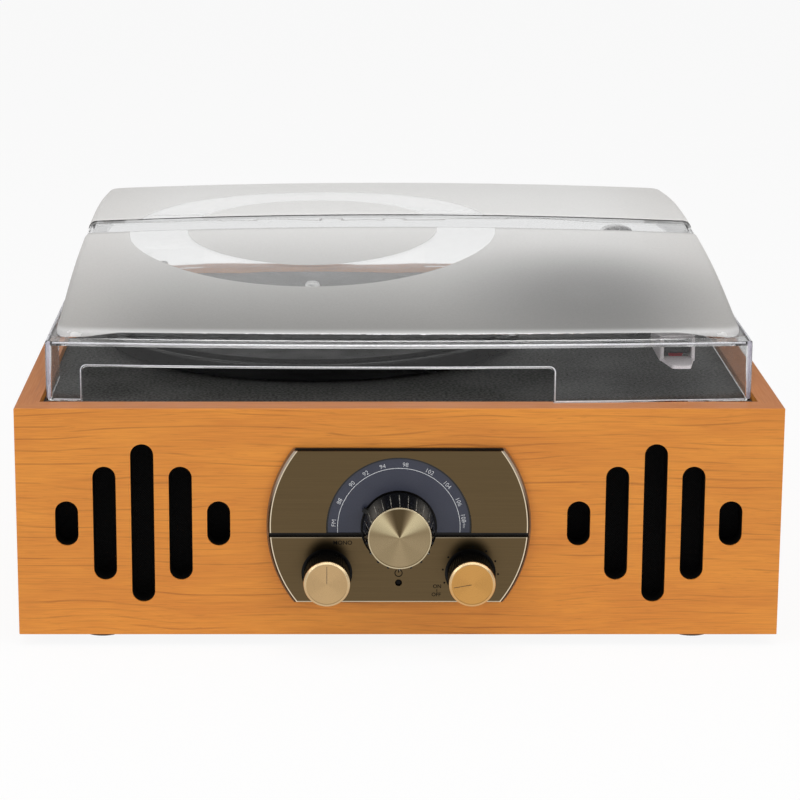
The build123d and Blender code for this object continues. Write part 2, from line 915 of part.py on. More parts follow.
rotary_controls = {}
for control_name, control_side in (("function_switch", -1), ("volume_control", 1)):
    with BuildPart() as rotary_control:
        control_x = control_side * small_knob_offset
        with BuildSketch(front_face(-radio_board_depth)):
            with Locations((control_x, knob_z)):
                Circle(rotary_radius)
        extrude(amount=rotary_thickness)
        chamfer(rotary_control.edges().group_by(Axis.Y)[0], length=board_edge_round)
        with BuildSketch(front_face(rotary_thickness - radio_board_depth)):
            with Locations((control_x, knob_z)):
                Circle(shaft_radius + running_gap)
        extrude(amount=-(rotary_thickness - control_back), mode=Mode.SUBTRACT)
    rotary_controls[control_name] = rotary_control

with BuildPart() as radio_board:
    with BuildSketch(front_face(-radio_board_depth)):
        with Locations((0, panel_z)):
            Rectangle(radio_board_width, radio_board_height)
    extrude(amount=-radio_board_thickness)
    with BuildSketch(front_face(-radio_board_depth - radio_board_thickness)):
        with Locations(*[(chip_x, panel_z + chip_z) for chip_x, chip_z in chip_places]):
            Rectangle(chip_size, chip_size)
        with Locations((0, panel_z - terminal_drop)):
            Rectangle(terminal_width, terminal_height)
    extrude(amount=-chip_height)
    drill(radio_screw_places, screw_hole, board_screw_length)

# Amplifier board on four standoffs
with BuildPart() as amplifier_board:
    with BuildSketch(level(bottom_top + standoff_height)):
        with Locations((amplifier_x, amplifier_y)):
            Rectangle(amplifier_width, amplifier_length)
    extrude(amount=amplifier_thickness)
    with BuildSketch(level(amplifier_top)):
        with Locations((amplifier_x, amplifier_y + heatsink_place)):
            Rectangle(heatsink_width, heatsink_thickness)
    extrude(amount=heatsink_height)
    with BuildSketch(level(amplifier_top)):
        with Locations((amplifier_x, amplifier_y + capacitor_place)):
            with GridLocations(capacitor_pitch, capacitor_pitch, 3, 1):
                Circle(capacitor_radius)
    extrude(amount=capacitor_height)
    drill(amplifier_screw_places, screw_hole, board_screw_length)

with BuildPart() as board_standoffs:
    with BuildSketch(level(bottom_top)):
        with Locations(*standoff_places):
            Circle(standoff_radius)
    extrude(amount=standoff_height)
    drill(amplifier_screw_places, screw_hole, board_screw_length)
    with BuildSketch(level(bottom_top)):
        with Locations(*standoff_places):
            Circle(screw_shank_radius)
    extrude(amount=-bottom_thickness / 2)

# Rear fittings: a plate with two line sockets and the low voltage inlet
line_socket_places = [
    (plate_x + line_socket_x + side * line_socket_spacing / 2, plate_z) for side in (-1, 1)
]
with BuildPart() as connector_plate:
    with BuildSketch(rear_face()):
        with Locations((plate_x, plate_z)):
            RectangleRounded(plate_width, plate_tall, plate_corner)
    extrude(amount=-plate_thickness)
    with BuildSketch(rear_face()):
        with Locations(*line_socket_places):
            Circle(line_socket_neck_radius + fixed_gap)
        with Locations((plate_x + inlet_x, plate_z)):
            Circle(inlet_radius + fixed_gap)
    extrude(amount=-plate_thickness, mode=Mode.SUBTRACT)
    drill(plate_screw_places, screw_hole, plate_thickness)

with BuildPart() as line_out_sockets:
    with BuildSketch(rear_face(socket_reach)):
        with Locations(*line_socket_places):
            Circle(line_socket_radius)
    extrude(amount=socket_reach)
    with BuildSketch(rear_face(plate_thickness)):
        with Locations(*line_socket_places):
            Circle(line_socket_neck_radius)
    extrude(amount=plate_thickness + socket_tail)
    with BuildSketch(rear_face()):
        with Locations(*line_socket_places):
            Circle(socket_flange_radius)
    extrude(amount=socket_flange)
    with BuildSketch(rear_face(socket_reach)):
        with Locations(*line_socket_places):
            Circle(line_socket_bore)
    extrude(amount=socket_reach, mode=Mode.SUBTRACT)

with BuildPart() as dc_inlet:
    with BuildSketch(rear_face(plate_thickness + inlet_reach)):
        with Locations((plate_x + inlet_x, plate_z)):
            Circle(inlet_radius)
    extrude(amount=plate_thickness + inlet_reach + inlet_tail)
    with BuildSketch(rear_face(plate_thickness + inlet_reach)):
        with Locations((plate_x + inlet_x, plate_z)):
            Circle(inlet_bore)
            Circle(inlet_pin_radius, mode=Mode.SUBTRACT)
    extrude(amount=inlet_bore_depth, mode=Mode.SUBTRACT)

# Deck plate, with the two ears that carry the cue lever
lever_x = inner_half_width - lever_inset
lever_y = pivot_y - lever_front
lever_z = deck_top + lever_rise
lever_ear_inner = lever_hub_width / 2 + resting_gap
platform_angle = swing_limit / 2
platform_stem_x = pivot_x - platform_distance * sin(radians(platform_angle))
platform_stem_y = pivot_y - platform_distance * cos(radians(platform_angle))
switch_x = inner_half_width - switch_inset
switch_places = (
    (switch_x, pivot_y - speed_front, speed_travel),
    (switch_x, pivot_y - stop_front, stop_travel),
)
with BuildPart() as deck_plate:
    with BuildSketch(level(deck_under)):
        with Locations((0, (inner_front + inner_back) / 2)):
            Rectangle(
                2 * (inner_half_width - deck_gap),
                inner_back - inner_front - 2 * deck_gap,
            )
    extrude(amount=deck_thickness)
    with BuildSketch(Plane.YZ.offset(lever_x - lever_ear_inner - lever_ear)):
        with Locations((lever_y, deck_top)):
            Rectangle(lever_ear_length, lever_rise, align=(Align.CENTER, Align.MIN))
        with Locations((lever_y, lever_z)):
            Circle(lever_ear_length / 2)
    extrude(amount=2 * (lever_ear_inner + lever_ear))
    with Locations((lever_x, lever_y, deck_top)):
        Box(
            2 * lever_ear_inner,
            lever_ear_length + cut_margin,
            lever_rise + lever_ear_length,
            align=(Align.CENTER, Align.CENTER, Align.MIN),
            mode=Mode.SUBTRACT,
        )
    with BuildSketch(level(deck_top)):
        with Locations((platter_x, platter_y)):
            Circle(bearing_radius + fixed_gap)
        with Locations((pulley_x, pulley_y)):
            Circle(motor_boss_radius + fixed_gap)
        with Locations((pivot_x, pivot_y)):
            Circle(arm_base_stem_radius + fixed_gap)
        with Locations((platform_stem_x, platform_stem_y)):
            Circle(platform_stem_radius + running_gap)
        for hole_x, hole_y, travel in switch_places:
            with Locations((hole_x, hole_y + travel / 2)):
                Rectangle(
                    switch_neck_width + 2 * resting_gap,
                    switch_neck_length + travel + 2 * resting_gap,
                )
    extrude(amount=-deck_thickness, mode=Mode.SUBTRACT)
    with BuildSketch(Plane.YZ.offset(lever_x - lever_ear_inner - lever_ear)):
        with Locations((lever_y, lever_z)):
            Circle(lever_axle_radius + running_gap)
    extrude(amount=2 * (lever_ear_inner + lever_ear), mode=Mode.SUBTRACT)
    drill(deck_screw_places, screw_hole, deck_thickness)
    drill(motor_screw_places, screw_hole, deck_thickness)

# Platter: a plate with an outer rim, a drive ring for the belt and a hub
with BuildPart() as platter:
    with BuildSketch(level(platter_under)):
        with Locations((platter_x, platter_y)):
            Circle(platter_radius)
    extrude(amount=platter_plate)
    with BuildSketch(level(deck_top + platter_lift)):
        with Locations((platter_x, platter_y)):
            Circle(platter_radius)
            Circle(platter_radius - platter_rim, mode=Mode.SUBTRACT)
    extrude(amount=platter_under - deck_top - platter_lift)
    with BuildSketch(level(deck_top + platter_lift)):
        with Locations((platter_x, platter_y)):
            Circle(drive_ring_radius)
            Circle(drive_ring_radius - drive_ring_wall, mode=Mode.SUBTRACT)
            Circle(hub_radius)
    extrude(amount=platter_under - deck_top - platter_lift)
    fillet(platter.edges().group_by(Axis.Z)[-1], radius=platter_edge_round)
    with BuildSketch(level(platter_top)):
        with Locations((platter_x, platter_y)):
            Circle(spindle_hub_radius + fixed_gap)
    extrude(amount=-(platter_top - deck_top), mode=Mode.SUBTRACT)

with BuildPart() as slip_mat:
    with BuildSketch(level(platter_top)):
        with Locations((platter_x, platter_y)):
            Circle(mat_radius)
            Circle(spindle_hub_radius + fixed_gap, mode=Mode.SUBTRACT)
    extrude(amount=mat_thickness)

spindle_low = deck_top + resting_gap - bearing_length + bearing_floor
with BuildPart() as spindle:
    with BuildSketch(level(spindle_low)):
        with Locations((platter_x, platter_y)):
            Circle(spindle_shaft_radius)
    extrude(amount=deck_top + platter_lift - spindle_low)
    with BuildSketch(level(deck_top + platter_lift)):
        with Locations((platter_x, platter_y)):
            Circle(spindle_hub_radius)
    extrude(amount=mat_top - deck_top - platter_lift)
    with BuildSketch(level(mat_top)):
        with Locations((platter_x, platter_y)):
            Circle(spindle_radius)
    extrude(amount=spindle_rise - platter_rise)
    fillet(spindle.edges().group_by(Axis.Z)[-1], radius=spindle_tip)

with BuildPart() as spindle_bearing:
    with BuildSketch(level(deck_top - bearing_length)):
        with Locations((platter_x, platter_y)):
            Circle(bearing_radius)
    extrude(amount=bearing_length + platter_lift - resting_gap)
    with BuildSketch(level(deck_under - bearing_flange)):
        with Locations((platter_x, platter_y)):
            Circle(bearing_flange_radius)
    extrude(amount=bearing_flange)
    with BuildSketch(level(deck_top - bearing_length + bearing_floor)):
        with Locations((platter_x, platter_y)):
            Circle(spindle_shaft_radius + running_gap)
    extrude(amount=bearing_length + platter_lift, mode=Mode.SUBTRACT)

# Drive belt, a flat band round the platter's drive ring and the motor's pulley
with BuildPart() as drive_belt:
    with BuildSketch(level(belt_low)):
        with Locations((platter_x, platter_y)):
            Circle(drive_ring_radius + belt_gap + belt_thickness)
        with Locations((pulley_x, pulley_y)):
            Circle(pulley_radius + belt_gap + belt_thickness)
        make_hull()
    extrude(amount=belt_height)
    with BuildSketch(level(belt_low)):
        with Locations((platter_x, platter_y)):
            Circle(drive_ring_radius + belt_gap)
        with Locations((pulley_x, pulley_y)):
            Circle(pulley_radius + belt_gap)
        make_hull()
    extrude(amount=belt_height, mode=Mode.SUBTRACT)

with BuildPart() as motor:
    with BuildSketch(level(deck_under - motor_height)):
        with Locations((pulley_x, pulley_y)):
            Circle(motor_radius)
    extrude(amount=motor_height)
    with BuildSketch(level(deck_under)):
        with Locations((pulley_x, pulley_y)):
            Circle(motor_boss_radius)
    extrude(amount=deck_thickness - resting_gap)
    with BuildSketch(level(deck_top)):
        with Locations((pulley_x, pulley_y)):
            Circle(motor_shaft_radius + running_gap)
    extrude(amount=-motor_bore, mode=Mode.SUBTRACT)
    drill(motor_screw_places, screw_hole, board_screw_length)

with BuildPart() as motor_pulley:
    with BuildSketch(level(deck_top + resting_gap)):
        with Locations((pulley_x, pulley_y)):
            Circle(pulley_radius)
    extrude(amount=platter_under - deck_top - 2 * resting_gap)
    with BuildSketch(level(deck_top + resting_gap)):
        with Locations((pulley_x, pulley_y)):
            Circle(pulley_flange_radius)
    extrude(amount=pulley_flange)
    with BuildSketch(level(deck_top + resting_gap)):
        with Locations((pulley_x, pulley_y)):
            Circle(motor_shaft_radius)
    extrude(amount=-motor_shaft_length)

# Tonearm base, fixed in the deck, and the yoke that swings in it
arm_base_top = deck_top + arm_base_height
yoke_low = arm_base_top + resting_gap
yoke_top = yoke_low + yoke_plate
ear_gap = pivot_block_width / 2 + pivot_block_gap
with BuildPart() as arm_base:
    with BuildSketch(level(deck_top)):
        with Locations((pivot_x, pivot_y)):
            Circle(arm_base_radius)
    extrude(amount=arm_base_height)
    chamfer(arm_base.edges().group_by(Axis.Z)[-1], length=arm_base_chamfer)
    with BuildSketch(level(deck_top)):
        with Locations((pivot_x, pivot_y)):
            Circle(arm_base_stem_radius)
    extrude(amount=-arm_base_stem)
    with BuildSketch(level(arm_base_top)):
        with Locations((pivot_x, pivot_y)):
            Circle(yoke_shaft_radius + running_gap)
    extrude(amount=-(yoke_shaft + resting_gap), mode=Mode.SUBTRACT)

with BuildPart() as arm_yoke:
    with BuildSketch(level(yoke_low)):
        with Locations((pivot_x, pivot_y)):
            Circle(yoke_radius)
    extrude(amount=yoke_plate)
    with BuildSketch(level(yoke_low)):
        with Locations((pivot_x, pivot_y)):
            Circle(yoke_shaft_radius)
    extrude(amount=-yoke_shaft)
    with BuildSketch(level(yoke_top)):
        with Locations(
            *[(pivot_x + side * (ear_gap + yoke_ear / 2), pivot_y) for side in (-1, 1)]
        ):
            Rectangle(yoke_ear, yoke_ear_width)
    extrude(amount=arm_z + yoke_ear_rise - yoke_top)
    with BuildSketch(Plane.YZ.offset(pivot_x - ear_gap - yoke_ear)):
        with Locations((pivot_y, arm_z)):
            Circle(axle_radius + running_gap)
    extrude(amount=2 * (ear_gap + yoke_ear), mode=Mode.SUBTRACT)

# Arm tube with its pivot block and cross axle
headshell_back = stylus_y - headshell_overhang + headshell_length
tube_front = headshell_back - headshell_socket
tube_back = pivot_y + counterweight_start + counterweight_length - counterweight_end
with BuildPart() as arm_tube:
    with BuildSketch(Plane.XZ.offset(-tube_front)):
        with Locations((pivot_x, arm_z)):
            Circle(tube_radius)
    extrude(amount=-(tube_back - tube_front))
    with Locations((pivot_x, pivot_y, arm_z)):
        Box(pivot_block_width, pivot_block_length, pivot_block_height)
    with BuildSketch(Plane.YZ.offset(pivot_x - ear_gap - yoke_ear)):
        with Locations((pivot_y, arm_z)):
            Circle(axle_radius)
    extrude(amount=2 * (ear_gap + yoke_ear))

with BuildPart() as counterweight:
    with BuildSketch(Plane.XZ.offset(-pivot_y - counterweight_start)):
        with Locations((pivot_x, arm_z)):
            Circle(counterweight_radius)
    extrude(amount=-counterweight_length)
    chamfer(counterweight.edges().filter_by(GeomType.CIRCLE), length=counterweight_end)
    with BuildSketch(Plane.XZ.offset(-pivot_y - counterweight_start)):
        with Locations((pivot_x, arm_z)):
            Circle(tube_radius + fixed_gap)
    extrude(amount=-(counterweight_length - counterweight_end + fixed_gap), mode=Mode.SUBTRACT)

# Headshell, open below and in front, with a finger lift, and the cartridge and stylus inside it
headshell_top = arm_z + headshell_rise
headshell_front = stylus_y - headshell_overhang
cartridge_top = headshell_top - headshell_wall
cartridge_low = cartridge_top - cartridge_height
with BuildPart() as headshell:
    with BuildSketch(Plane.XZ.offset(-headshell_front)):
        with Locations((pivot_x, headshell_top)):
            Rectangle(headshell_width, headshell_height, align=(Align.CENTER, Align.MAX))
    extrude(amount=-headshell_length)
    fillet(headshell.edges().filter_by(Axis.Z), radius=headshell_corner)
    fillet(headshell.edges().group_by(Axis.Z)[-1], radius=headshell_edge_round)
    with BuildSketch(Plane.XZ.offset(-headshell_front)):
        with Locations((pivot_x, cartridge_top)):
            Rectangle(
                headshell_width - 2 * headshell_wall,
                headshell_height,
                align=(Align.CENTER, Align.MAX),
            )
    extrude(amount=-(headshell_length - headshell_collar), mode=Mode.SUBTRACT)
    with BuildSketch(level(headshell_top - headshell_height)) as lift_outline:
        with BuildLine():
            Polyline(
                (pivot_x - headshell_width / 2, headshell_front + finger_lift_root),
                (pivot_x + headshell_width / 2, headshell_front + finger_lift_root),
                (pivot_x + finger_lift_width / 2, headshell_front - finger_lift),
                (pivot_x - finger_lift_width / 2, headshell_front - finger_lift),
                close=True,
            )
        make_face()
        fillet(lift_outline.vertices().group_by(Axis.Y)[0], radius=finger_lift_round)
    extrude(amount=finger_lift_thickness)
    with BuildSketch(Plane.XZ.offset(-tube_front)):
        with Locations((pivot_x, arm_z)):
            Circle(tube_radius + fixed_gap)
    extrude(amount=-(headshell_back - tube_front), mode=Mode.SUBTRACT)

with BuildPart() as cartridge:
    with BuildSketch(level(cartridge_low)):
        with Locations((pivot_x, stylus_y)):
            Rectangle(cartridge_width, cartridge_length)
    extrude(amount=cartridge_height)
    chamfer(cartridge.edges().group_by(Axis.Z)[0], length=cartridge_chamfer)

stylus_tip_z = mat_top + record_allowance
with BuildPart() as stylus:
    with BuildSketch(level(cartridge_low)):
        with Locations((pivot_x, stylus_y - stylus_forward)):
            Rectangle(stylus_width, stylus_length)
    with BuildSketch(level(cartridge_low - stylus_height)):
        with Locations((pivot_x, stylus_y - stylus_forward)):
            Rectangle(
                stylus_width - 2 * stylus_side_taper,
                stylus_length - 2 * stylus_end_taper,
            )
    loft()
    with BuildSketch(level(cartridge_low - stylus_height)):
        with Locations((pivot_x, stylus_y)):
            Circle(stylus_tip_radius)
    extrude(amount=-(cartridge_low - stylus_height - stylus_tip_z))

# Arm rest, open towards the platter, and the arm lift
arm_rest_y = pivot_y - arm_rest_distance
arm_rest_top = arm_z - tube_radius - resting_gap
rest_wall_x = pivot_x + tube_radius + resting_gap
with BuildPart() as arm_rest:
    with BuildSketch(Plane.XZ.offset(-arm_rest_y + arm_rest_length / 2)):
        with Locations((pivot_x, deck_top)):
            Rectangle(arm_rest_width, arm_rest_base, align=(Align.CENTER, Align.MIN))
        with Locations((rest_wall_x + arm_rest_wall, deck_top)):
            Rectangle(arm_rest_saddle, arm_rest_top - deck_top, align=(Align.MAX, Align.MIN))
        with Locations((rest_wall_x, deck_top)):
            Rectangle(
                arm_rest_wall,
                arm_z + arm_rest_horn - deck_top,
                align=(Align.MIN, Align.MIN),
            )
    extrude(amount=-arm_rest_length)

with BuildPart() as lift_platform:
    with BuildSketch(level(arm_rest_top)):
        with BuildLine():
            CenterArc(
                (pivot_x, pivot_y),
                platform_distance + platform_width / 2,
                arm_rest_heading - swing_limit - platform_margin,
                swing_limit + 2 * platform_margin,
            )
            CenterArc(
                (pivot_x, pivot_y),
                platform_distance - platform_width / 2,
                arm_rest_heading - swing_limit - platform_margin,
                swing_limit + 2 * platform_margin,
            )
            for end_angle in (arm_rest_heading - swing_limit - platform_margin, arm_rest_heading + platform_margin):
                end_cos = cos(radians(end_angle))
                end_sin = sin(radians(end_angle))
                Line(
                    (
                        pivot_x + (platform_distance - platform_width / 2) * end_cos,
                        pivot_y + (platform_distance - platform_width / 2) * end_sin,
                    ),
                    (
                        pivot_x + (platform_distance + platform_width / 2) * end_cos,
                        pivot_y + (platform_distance + platform_width / 2) * end_sin,
                    ),
                )
        make_face()
    extrude(amount=-platform_thickness)
    with BuildSketch(level(arm_rest_top - platform_thickness)):
        with Locations((platform_stem_x, platform_stem_y)):
            Circle(platform_stem_radius)
    extrude(amount=-platform_stem_length)

lever_direction = (0, -cos(radians(lever_slope)), sin(radians(lever_slope)))
lever_plane = Plane(origin=(lever_x, lever_y, lever_z), x_dir=(1, 0, 0), z_dir=lever_direction)
with BuildPart() as cue_lever:
    with BuildSketch(Plane.YZ.offset(lever_x - lever_hub_width / 2)):
        with Locations((lever_y, lever_z)):
            Circle(lever_hub_radius)
    extrude(amount=lever_hub_width)
    with BuildSketch(Plane.YZ.offset(lever_x - lever_ear_inner - lever_ear)):
        with Locations((lever_y, lever_z)):
            Circle(lever_axle_radius)
    extrude(amount=2 * (lever_ear_inner + lever_ear))
    with BuildSketch(lever_plane):
        Circle(lever_rod_radius)
    extrude(amount=lever_length)
    with Locations(lever_plane.offset(lever_length).location):
        Sphere(lever_tip_radius)

# Sliding switches for the speed and the automatic stop
deck_switches = {}
for switch_name, (tab_x, tab_y, travel) in zip(
    ("speed_selector", "auto_stop_switch"), switch_places
):
    with BuildPart() as deck_switch:
        with BuildSketch(level(deck_top + resting_gap)):
            with Locations((tab_x, tab_y)):
                Rectangle(switch_width, switch_tab_length)
        extrude(amount=switch_tab_height)
        chamfer(deck_switch.edges().group_by(Axis.Z)[-1], length=switch_chamfer)
        with BuildSketch(level(deck_top + resting_gap)):
            with Locations((tab_x, tab_y)):
                Rectangle(switch_neck_width, switch_neck_length)
        extrude(amount=-(deck_thickness + 2 * resting_gap))
        with BuildSketch(level(deck_under - resting_gap)):
            with Locations((tab_x, tab_y)):
                Rectangle(switch_foot_width, switch_neck_length)
        extrude(amount=-switch_foot_thickness)
    deck_switches[switch_name] = deck_switch


# Dust cover: a straight-sided skirt with a bowed front, under a crowned top
def skirt_outline(inset):
    """The skirt's outline from above, this far inside its outer face, drawn inside a sketch."""
    side_x = cover_half_width - inset
    front_y = cover_front_y + inset
    back_y = cover_back_y - inset
    with BuildLine() as outline:
        Polyline((side_x, front_y), (side_x, back_y), (-side_x, back_y), (-side_x, front_y))
        ThreePointArc((-side_x, front_y), (0, front_y - cover_bow), (side_x, front_y))
    make_face(outline.line)


def make_dome(inset, drop):
    """The crowned top as a solid down to the rim, this far inside and below its outer face."""
    front_half = cover_half_width - dome_front_side_step
    back_half = cover_half_width - dome_back_side_step
    with BuildPart() as block:
        for share, middle, fall in dome_profile:
            y = dome_front_y + share * (dome_back_y - dome_front_y)
            with BuildSketch(Plane.XZ.offset(-y)):
                with BuildLine():
                    Polyline(
                        (-cover_half_width, rim + middle - fall - drop),
                        (-cover_half_width, rim),
                        (cover_half_width, rim),
                        (cover_half_width, rim + middle - fall - drop),
                    )
                    ThreePointArc(
                        (cover_half_width, rim + middle - fall - drop),
                        (0, rim + middle - drop),
                        (-cover_half_width, rim + middle - fall - drop),
                    )
                make_face()
        loft()
    with BuildPart() as dome:
        with BuildSketch(level(rim)) as footprint:
            front_corner = (front_half - inset, dome_front_y + inset)
            back_corner = (back_half - inset, dome_back_y - inset)
            with BuildLine():
                Polyline(
                    front_corner,
                    back_corner,
                    (-back_corner[0], back_corner[1]),
                    (-front_corner[0], front_corner[1]),
                )
                ThreePointArc(
                    (-front_corner[0], front_corner[1]),
                    (0, front_corner[1] - cover_bow),
                    front_corner,
                )
            make_face()
            fillet(footprint.vertices(), radius=dome_corner - inset)
        extrude(amount=3 * cover_skirt_rise)
        add(block.part, mode=Mode.INTERSECT)
        fillet(dome.edges().group_by(Axis.Z)[-1], radius=dome_edge_round - inset)
    return dome.part


dome_outer = make_dome(0.0, 0.0)
dome_inner = make_dome(cover_wall, cover_wall)
dome_sunk = make_dome(strip_sunk, strip_sunk)
cover_low = rim + cover_seat_gap
skirt_top = rim + cover_skirt_rise
strip_middle = case_front + strip_front + strip_width / 2

# The part of the top that is sunk to leave the clear strip across it
with BuildPart() as strip_cut:
    with Locations((0, strip_middle, skirt_top)):
        Box(
            3 * cover_half_width,
            strip_width,
            2 * cover_skirt_rise,
            align=(Align.CENTER, Align.CENTER, Align.MIN),
        )
    add(dome_sunk, mode=Mode.SUBTRACT)

with BuildPart() as dust_cover:
    with BuildSketch(level(cover_low)) as skirt:
        skirt_outline(0.0)
        fillet(skirt.vertices(), radius=cover_skirt_corner)
    extrude(amount=skirt_top - cover_low)
    fillet(dust_cover.edges().group_by(Axis.Z)[-1], radius=cover_skirt_round)
    add(dome_outer)
    with BuildSketch(level(cover_low)) as hollow:
        skirt_outline(cover_wall)
        fillet(hollow.vertices(), radius=cover_skirt_corner - cover_wall)
    extrude(amount=skirt_top - cover_wall - cover_low, mode=Mode.SUBTRACT)
    add(dome_inner, mode=Mode.SUBTRACT)
    add(strip_cut.part, mode=Mode.SUBTRACT)
    with Locations((0, platter_y, cover_low)):
        Box(
            3 * cover_half_width,
            2 * case_depth,
            2 * cover_seat_gap,
            align=(Align.CENTER, Align.CENTER, Align.MAX),
            mode=Mode.SUBTRACT,
        )
    # Notches in the front, left and rear walls, where a large record stands out past them
    with BuildSketch(Plane.XZ.offset(cut_margin + cover_bow - cover_front_y)):
        with Locations((platter_x + front_notch_shift, cover_low)):
            RectangleRounded(2 * notch_half_width, 2 * notch_rise, notch_corner)
    extrude(amount=-(cover_bow + cover_wall + 2 * cut_margin), mode=Mode.SUBTRACT)
    with BuildSketch(Plane.YZ.offset(-cover_half_width - cut_margin)):
        with Locations((platter_y, cover_low)):
            RectangleRounded(2 * notch_half_width, 2 * notch_rise, notch_corner)
    extrude(amount=cover_wall + 2 * cut_margin, mode=Mode.SUBTRACT)
    with BuildSketch(Plane.XZ.offset(-cover_back_y - cut_margin)):
        with Locations((platter_x, cover_low)):
            RectangleRounded(2 * rear_notch_half_width, 2 * notch_rise, notch_corner)
    extrude(amount=cover_wall + 2 * cut_margin, mode=Mode.SUBTRACT)

# Hinges: an arm behind the cover turns on a stud between the two ears of its bracket
ear_inner = hinge_barrel_length / 2 + resting_gap
with BuildPart() as hinge_arms:
    for side in (-1, 1):
        with BuildSketch(Plane.YZ.offset(side * hinge_x - hinge_barrel_length / 2)):
            with Locations((cover_back_y, hinge_z - hinge_barrel_radius)):
                Rectangle(
                    hinge_arm_thickness,
                    hinge_arm_height,
                    align=(Align.MIN, Align.MIN),
                )
                Rectangle(
                    hinge_y - cover_back_y,
                    2 * hinge_barrel_radius,
                    align=(Align.MIN, Align.MIN),
                )
            with Locations((hinge_y, hinge_z)):
                Circle(hinge_barrel_radius)
                Circle(hinge_pin_radius + running_gap, mode=Mode.SUBTRACT)
        extrude(amount=hinge_barrel_length)

with BuildPart() as hinge_brackets:
    with BuildSketch(level(rim)):
        with Locations(*[(side * hinge_x, hinge_base_y) for side in (-1, 1)]):
            Rectangle(hinge_base_length, hinge_base_width)
    extrude(amount=hinge_base_thickness)
    for side in (-1, 1):
        for ear_low in (-ear_inner - hinge_ear, ear_inner):
            with BuildSketch(Plane.YZ.offset(side * hinge_x + ear_low)):
                with Locations((hinge_y, hinge_z)):
                    Circle(hinge_ear_radius)
                with Locations((hinge_y, rim)):
                    Rectangle(2 * hinge_ear_radius, hinge_rise, align=(Align.CENTER, Align.MIN))
            extrude(amount=hinge_ear)
        with BuildSketch(Plane.YZ.offset(side * hinge_x - ear_inner)):
            with Locations((hinge_y, hinge_z)):
                Circle(hinge_pin_radius)
        extrude(amount=2 * ear_inner)
    drill(hinge_screw_places, screw_hole, hinge_base_thickness)


pieces = {
    "front_board": front_board,
    **side_boards,
    "rear_board": rear_board,
    "bottom_board": bottom_board,
    "corner_blocks": corner_blocks,
    "rubber_feet": rubber_feet,
    "case_screws": case_screws,
    "deck_screws": deck_screws,
    "speaker_screws": speaker_screws,
    "fitting_screws": fitting_screws,
    "board_screws": board_screws,
    "speaker_baskets": speaker_baskets,
    "speaker_cones": speaker_cones,
    "speaker_magnets": speaker_magnets,
    "grille_cloths": grille_cloths,
    "panel_frame": panel_frame,
    "upper_panel": upper_panel,
    "lower_panel": lower_panel,
    "dial_plate": dial_plate,
    "power_led": power_led,
    "tuning_knob": tuning_knob,
    "tuning_cap": tuning_cap,
    **small_knobs,
    **shafts,
    "tuning_capacitor": tuning_capacitor,
    **rotary_controls,
    "radio_board": radio_board,
    "amplifier_board": amplifier_board,
    "board_standoffs": board_standoffs,
    "connector_plate": connector_plate,
    "line_out_sockets": line_out_sockets,
    "dc_inlet": dc_inlet,
    "deck_plate": deck_plate,
    "platter": platter,
    "slip_mat": slip_mat,
    "spindle": spindle,
    "spindle_bearing": spindle_bearing,
    "drive_belt": drive_belt,
    "motor": motor,
    "motor_pulley": motor_pulley,
    "arm_base": arm_base,
    "arm_yoke": arm_yoke,
    "arm_tube": arm_tube,
    "counterweight": counterweight,
    "headshell": headshell,
    "cartridge": cartridge,
    "stylus": stylus,
    "arm_rest": arm_rest,
    "lift_platform": lift_platform,
    "cue_lever": cue_lever,
    **deck_switches,
    "dust_cover": dust_cover,
    "hinge_arms": hinge_arms,
    "hinge_brackets": hinge_brackets,
}

os.makedirs("parts", exist_ok=True)
for piece_name, piece in pieces.items():
    piece.part.label = piece_name
    export_step(piece.part, f"parts/{piece_name}.step")
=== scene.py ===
"""Looks of a record player with an FM radio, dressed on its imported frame.

Every size is in metres, in the frame's own place. Each operator finishes one group of pieces.
"""
from math import asin, cos, pi, radians, sin

import bmesh
import bpy
from mathutils import Matrix, Vector
from mathutils.bvhtree import BVHTree


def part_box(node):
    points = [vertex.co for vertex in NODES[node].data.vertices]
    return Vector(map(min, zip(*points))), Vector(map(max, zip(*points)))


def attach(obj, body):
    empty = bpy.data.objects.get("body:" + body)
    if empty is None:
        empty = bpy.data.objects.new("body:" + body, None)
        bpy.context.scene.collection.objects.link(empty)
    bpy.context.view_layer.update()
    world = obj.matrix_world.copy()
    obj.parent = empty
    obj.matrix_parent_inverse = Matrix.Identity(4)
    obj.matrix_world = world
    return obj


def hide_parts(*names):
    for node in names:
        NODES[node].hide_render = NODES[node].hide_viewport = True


bl_info = {
    "name": "Record Player Looks",
    "version": (1, 0, 0),
    "blender": (4, 5, 0),
    "location": "View3D > Sidebar > Record Player",
    "description": "Finishes and fine details of a record player with an FM radio",
    "category": "Object",
}

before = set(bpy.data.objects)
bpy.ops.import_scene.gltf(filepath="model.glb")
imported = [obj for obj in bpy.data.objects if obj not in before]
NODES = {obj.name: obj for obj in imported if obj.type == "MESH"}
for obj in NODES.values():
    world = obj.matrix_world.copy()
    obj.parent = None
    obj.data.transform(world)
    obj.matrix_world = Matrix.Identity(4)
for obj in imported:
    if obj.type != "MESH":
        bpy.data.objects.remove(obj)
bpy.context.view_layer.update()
MM = 0.001
PRINT_HEIGHT = 0.05 * MM
LIFT = 0.02 * MM


def middle(node):
    """The middle of a node's box."""
    low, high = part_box(node)
    return (low + high) / 2


